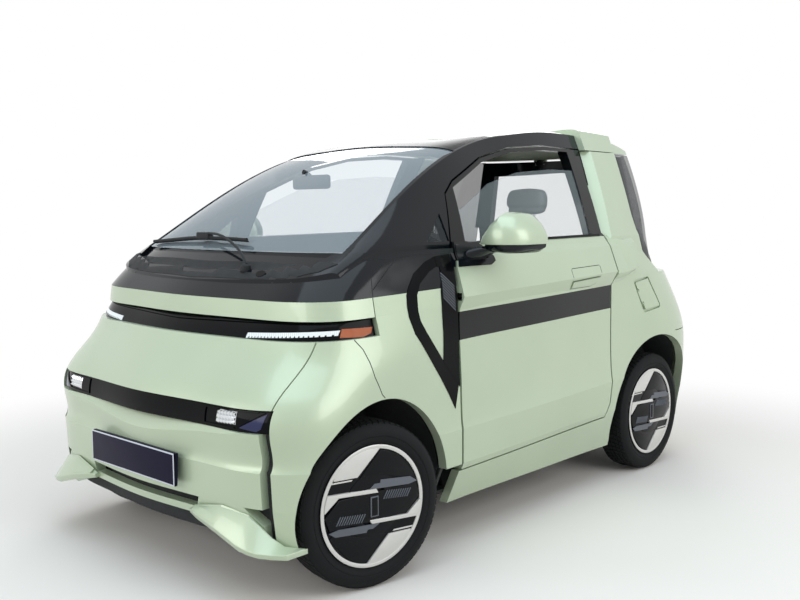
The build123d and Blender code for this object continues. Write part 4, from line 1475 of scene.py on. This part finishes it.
@dataclass
class DoorTrim:
    """What is fixed to a door: the panel under the mirror, the handle and the window's seal."""

    def trim(self, outline: Sequence[Point], name: str, finish: Finish, cut_mm: float,
             thick_mm: float) -> None:
        """Lay a trim piece on the left door, and its mirror image on the right.

        Args:
            outline: its corners (y, z) in metres.
            name: its name, without its side.
            finish: its finish.
            cut_mm: distance between slices.
            thick_mm: how far it stands proud.
        """
        piece = laid([outline], Side.LEFT, ["door_left"], cut_mm, thick_mm)
        paired(piece, name, finish, body="door")

    def build(self) -> None:
        """Build the door trim on both doors."""
        # The black triangular base under the mirror.
        self.trim([(-0.563, 1.041), (-0.538, 1.119), (-0.405, 1.121), (-0.374, 1.103), (-0.346, 1.074),
                   (-0.342, 1.055), (-0.372, 1.041)], "mirror_base", Finish.GLOSS, 10, 3.0)
        # The flush handle: its joint, the finger slot's shadow painted as a darker sage sheet, and the bright
        # pull.
        joint = [(0.147, 0.950), (0.146, 0.994), (0.152, 1.000), (0.360, 1.006), (0.369, 1.000),
                 (0.368, 0.962)]
        self.trim(strip(joint, 2.4), "handle_joint", Finish.SEAL, 12, 0.3)
        # Painted shade: a thin darker sheet round the pull stands for the shadow in its recess.
        self.trim([(0.147, 0.949), (0.366, 0.961), (0.352, 0.927), (0.308, 0.915), (0.153, 0.913)],
                  "handle_recess_painted_shade", Finish.SHADE, 10, 0.5)
        self.trim([(0.151, 0.944), (0.356, 0.955), (0.342, 0.930), (0.304, 0.920), (0.157, 0.918)],
                  "handle_pull", Finish.PAINT, 8, 6.0)
        # The black rubber lip along the foot of the window.
        self.trim([(-0.320, 1.118), (0.468, 1.128), (0.470, 1.138), (-0.320, 1.128)],
                  "belt_seal", Finish.SEAL, 14, 3.0)


@dataclass
class Tail:
    """The rear: the tail light's segments and the corner reflectors."""

    def lamp(self) -> None:
        """The row of bright segments along the tail light."""
        row = ([(x, 0.8825), (x + 0.052, 0.8825), (x + 0.052, 0.8905), (x, 0.8905)]
               for x in (-0.505 + 0.0598 * i for i in range(17)))
        segments = laid(row, Side.REAR, ["tail_light"], 12, 2.0)
        settle(segments, "tail_light_segments", "tailgate", Finish.RED_GLOW)

    def reflectors(self) -> None:
        """A red reflector low at each rear corner."""
        outline = [(0.420, 0.398), (0.540, 0.402), (0.540, 0.420), (0.420, 0.416)]
        paired(laid([outline], Side.REAR, ["rear_bumper"], 12, 3.0), "reflector_rear", Finish.RED)

    def build(self) -> None:
        """Build the tail's pieces."""
        self.lamp()
        self.reflectors()


# ---------------------------------------------------------------- cabin
@dataclass
class Seats:
    """The two seats: padded cushions, backs and headrests in grey cloth, swollen by a cloth simulation."""

    middle: float = 0.3
    spacing: float = 0.6
    voxel: float = 0.007
    cap_mm: float = 22.0
    pressure: float = 4.0
    frames: int = 20
    thread_mm: float = 9.0
    thread_depth_mm: float = 9.0

    def swell(self, piece: Piece) -> None:
        """Remesh a pad and let its cover swell, no point by more than the cap.

        Args:
            piece: the pad.
        """
        add_modifier(piece, "REMESH", mode="VOXEL", voxel_size=self.voxel)
        rest = [vertex.co.copy() for vertex in piece.data.vertices]
        make_active(piece)
        cloth = piece.modifiers.new("cloth", "CLOTH")
        cloth.settings.use_pressure = True
        cloth.settings.uniform_pressure_force = self.pressure
        cloth.settings.effector_weights.gravity = 0.0
        cloth.point_cache.frame_start, cloth.point_cache.frame_end = 1, self.frames
        scene = bpy.context.scene
        for number in range(1, self.frames + 1):
            scene.frame_set(number)
        bpy.ops.object.modifier_apply(modifier="cloth")
        scene.frame_set(1)
        for vertex, start in zip(piece.data.vertices, rest):
            move = vertex.co - start
            if move.length > self.cap_mm * MM:
                vertex.co = start + move.normalized() * self.cap_mm * MM

    def channels(self, piece: Piece, lines: Sequence[tuple[str, float]], keep: Test) -> None:
        """Sew channels into a pad along planes.

        Args:
            piece: the pad.
            lines: an axis letter and a place on it for each channel.
            keep: takes a point and its normal, and says whether the channel reaches it.
        """
        for vertex in piece.data.vertices:
            if keep(vertex.co, vertex.normal):
                gaps = (vertex.co["XYZ".index(axis)] - place for axis, place in lines)
                pull = sum(math.exp(-(gap / (self.thread_mm * MM)) ** 2) for gap in gaps)
                vertex.co = vertex.co - vertex.normal * min(pull, 1.0) * self.thread_depth_mm * MM

    def pad(self, rings: Sequence[Sequence[Spot]], name: str, node: str, lines: Sequence[tuple[str, float]],
            keep: Test) -> None:
        """Make a pad on the left seat and its twin on the right.

        Args:
            rings: sections of the start shape.
            name: the pad's name.
            node: the CAD node that it stands for.
            lines: its sewn channels.
            keep: where the channels reach.
        """
        piece = bridged(rings, 2)
        self.swell(piece)
        self.channels(piece, lines, keep)
        add_modifier(piece, "SUBSURF", levels=1, render_levels=1)
        other = twin(piece, Matrix.Translation((-self.spacing, 0, 0)))
        for pad, side in ((piece, "left"), (other, "right")):
            settle(pad, f"{name}_{side}", "body", Finish.CLOTH, 80)
            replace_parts(pad, node)

    def oval(self, y: float, z: float, half_x: float, half_other: float, flat: str) -> list[Spot]:
        """A rounded rectangle of sixteen points across one axis, at the seat's middle.

        Args:
            y: its centre's y.
            z: its centre's z.
            half_x: half its width.
            half_other: half its other size.
            flat: the axis that it faces, Y or Z.

        Returns:
            The points.
        """
        points = []
        for a in (2 * math.pi * (i + 0.5) / 16 for i in range(16)):
            c, s = math.cos(a), math.sin(a)
            u = half_x * math.copysign(abs(c) ** 0.45, c)
            v = half_other * math.copysign(abs(s) ** 0.45, s)
            points.append((self.middle + u, y, z + v) if flat == "Y" else (self.middle + u, y + v, z))
        return points

    def build(self) -> None:
        """Build both seats."""
        cushion = [self.oval(*section, "Y") for section in (
            (-0.232, 0.500, 0.170, 0.036), (-0.220, 0.506, 0.196, 0.052), (-0.150, 0.506, 0.204, 0.060),
            (0.000, 0.500, 0.206, 0.056), (0.140, 0.492, 0.204, 0.050), (0.176, 0.490, 0.196, 0.042))]
        self.pad(cushion, "seat_cushion", "seat_cushions",
                 (("X", 0.175), ("X", 0.425), ("Y", -0.140), ("Y", 0.010)),
                 lambda c, n: n.z > 0.3 and (0.17 < c.x < 0.43 or abs(c.x - self.middle) > 0.11))
        back = [self.oval(*section, "Z") for section in (
            (0.266, 0.470, 0.190, 0.034), (0.272, 0.500, 0.206, 0.050), (0.300, 0.640, 0.208, 0.056),
            (0.345, 0.840, 0.206, 0.056), (0.392, 1.020, 0.196, 0.046), (0.412, 1.120, 0.170, 0.036),
            (0.418, 1.150, 0.130, 0.026))]
        self.pad(back, "seat_back", "seat_backs",
                 (("X", 0.175), ("X", 0.425), ("Z", 0.700), ("Z", 0.850), ("Z", 0.990)),
                 lambda c, n: n.y < -0.3 and 0.16 < c.x < 0.44)
        head = [self.oval(*section, "Z") for section in (
            (0.428, 1.222, 0.080, 0.022), (0.430, 1.236, 0.102, 0.032), (0.434, 1.285, 0.108, 0.036),
            (0.436, 1.325, 0.100, 0.030), (0.436, 1.340, 0.080, 0.020))]
        self.pad(head, "headrest", "seat_backs", (("Z", 1.250),), lambda c, n: n.y < -0.3)
        posts = merged([tube([(x, 0.424, 1.130), (x, 0.426, 1.180), (x, 0.430, 1.240)], 0.006)
                        for x in (0.255, 0.345)])
        left = settle(posts, "headrest_posts_left", "body", Finish.CHROME)
        right = twin(left, Matrix.Translation((-self.spacing, 0, 0)))
        settle(right, "headrest_posts_right", "body", Finish.CHROME)


@dataclass
class Dashboard:
    """The dashboard's display and the mirror on the windscreen."""

    def display(self) -> None:
        """The driver's display: a dark glass slab in a thin hood."""
        hood = block((0.215, -0.600, 1.060), (0.425, -0.575, 1.132), 5.0, 3)
        settle(hood, "display_hood", "body", Finish.DASH)
        glass = plaque((0.223, 1.068), (0.417, 1.124), "Y", -0.5752, -0.5725, 0.8)
        settle(glass, "display_glass", "body", Finish.LAMP_BLACK)

    def inner_mirror(self) -> None:
        """The mirror inside the windscreen, on its stalk."""
        shell = block((-0.105, -0.640, 1.330), (0.105, -0.612, 1.386), 12.0, 3)
        stalk = tube([(0.0, -0.626, 1.375), (0.0, -0.640, 1.392), (0.0, -0.668, 1.398)], 0.009)
        settle(merged([shell, stalk]), "cabin_mirror", "body", Finish.GRAIN)
        glass = plaque((-0.097, 1.337), (0.097, 1.379), "Y", -0.6125, -0.6105, 0.6)
        settle(glass, "cabin_mirror_glass", "body", Finish.CHROME)

    def build(self) -> None:
        """Build the dashboard's pieces."""
        self.display()
        self.inner_mirror()


# ---------------------------------------------------------------- stage
@dataclass
class Studio:
    """The pale floor, the plain sky, the soft lamps and the camera."""

    eye: Spot = (2.8276, -3.1434, 1.2393)
    yaw: float = -42.76
    pitch: float = -5.42
    roll: float = -0.32
    lens: float = 42.0
    shift: float = -0.0045
    floor_tones: tuple[str, str] = ("F7F1EA", "F2ECE5")
    floor_clear: Point = (1.7, 3.4)
    aim: Spot = (0.0, 0.0, 0.7)

    def floor(self) -> None:
        """A pale sweep that shows near white in the picture and takes a soft shadow."""
        bpy.ops.object.select_all(action="DESELECT")
        bpy.ops.mesh.primitive_plane_add(size=60, location=(0, 0, 0))
        floor = bpy.context.object
        floor.name = "floor"
        s = Shader("pale_studio_floor")
        s.set(Base_Color=s.tones(*self.floor_tones, 900), Roughness=0.85)
        # Away from the car the floor turns to the backdrop's white, for the eye and for reflections only.
        x, y, _ = s.axes()
        reach = s.math("SQRT", s.math("ADD", s.math("MULTIPLY", x, x), s.math("MULTIPLY", y, y)))
        far = s.add("ShaderNodeMapRange", {"interpolation_type": "SMOOTHSTEP"}, Value=reach,
                    i1=self.floor_clear[0], i2=self.floor_clear[1])
        white = s.add("ShaderNodeEmission", Color=(1, 1, 1, 1), Strength=1.0)
        amount = s.math("MULTIPLY", far.outputs[0], s.seen())
        both = s.add("ShaderNodeMixShader", i0=amount, i1=s.skin.outputs[0], i2=white.outputs[0])
        s.feed(s.output.inputs[0], both.outputs[0])
        floor.data.materials.append(s.material)

    def sky(self) -> None:
        """A plain world: white to the camera, softer on the car."""
        world = bpy.data.worlds.new("studio_world")
        bpy.context.scene.world = world
        world.use_nodes = True
        n = Nodes(world.node_tree)
        soft = n.add("ShaderNodeBackground", Color=linear("DDE3E8"), Strength=0.55)
        white = n.add("ShaderNodeBackground", Color=(1, 1, 1, 1), Strength=1.0)
        both = n.add("ShaderNodeMixShader", i0=n.seen(), i1=soft.outputs[0], i2=white.outputs[0])
        n.add("ShaderNodeOutputWorld", i0=both.outputs[0])

    def lamp(self, name: str, place: Spot, size: Point, watts: float, tone: str = "FFFFFF") -> None:
        """Add a soft rectangular lamp that faces the car.

        Args:
            name: the lamp's name.
            place: where it hangs, in metres.
            size: its width and height.
            watts: its power.
            tone: its colour.
        """
        data = bpy.data.lights.new(name, "AREA")
        data.color = linear(tone)[:3]
        data.shape, data.size, data.size_y, data.energy = "RECTANGLE", *size, watts
        lamp = bpy.data.objects.new(name, data)
        bpy.context.scene.collection.objects.link(lamp)
        lamp.location = place
        lamp.rotation_euler = (Vector(self.aim) - Vector(place)).to_track_quat("-Z", "Y").to_euler()

    def camera(self) -> None:
        """Stand the camera at the car's front left."""
        data = bpy.data.cameras.new("camera")
        data.lens, data.sensor_width, data.shift_x = self.lens, 36.0, self.shift
        camera = bpy.data.objects.new("camera", data)
        bpy.context.scene.collection.objects.link(camera)
        yaw, pitch, roll = (math.radians(a) for a in (self.yaw, self.pitch, self.roll))
        ahead = Vector((math.cos(pitch) * math.sin(yaw), math.cos(pitch) * math.cos(yaw), math.sin(pitch)))
        right = ahead.cross(Vector((0, 0, 1))).normalized()
        up = right.cross(ahead)
        side = math.cos(roll) * right + math.sin(roll) * up
        top = -math.sin(roll) * right + math.cos(roll) * up
        camera.matrix_world = Matrix.Translation(self.eye) @ Matrix((side, top, -ahead)).transposed().to_4x4()
        bpy.context.scene.camera = camera

    def build(self) -> None:
        """Set up the whole studio."""
        self.floor()
        self.sky()
        self.lamp("overhead_softbox", (1.0, -1.5, 5.0), (5.0, 5.0), 140, "DCF0FF")
        self.lamp("left_softbox", (5.0, 0.5, 2.6), (4.0, 2.5), 90)
        self.lamp("front_softbox", (-1.0, -6.0, 2.4), (5.0, 2.2), 100)
        self.lamp("back_softbox", (-3.5, 4.5, 3.2), (4.0, 2.5), 90)
        self.camera()
        bpy.context.scene.view_settings.view_transform = "Standard"


def main() -> None:
    """Dress the frame, build every piece and set the stage."""
    logging.basicConfig(level=logging.INFO, format="%(message)s")
    dress_nodes()
    front, rear, steered = -0.995, 0.905, -10.4
    wheels = (Wheel("front_left", 1, front, 0.664, steered), Wheel("front_right", -1, front, 0.664, steered),
              Wheel("rear_left", 1, rear, 0.630), Wheel("rear_right", -1, rear, 0.630))
    for part in (*wheels, Nose(), Cowl(), Panels(), Mirror(1), Mirror(-1), DoorTrim(), Tail(), Seats(),
                 Dashboard(), Studio()):
        part.build()


if __name__ == "__main__":
    main()
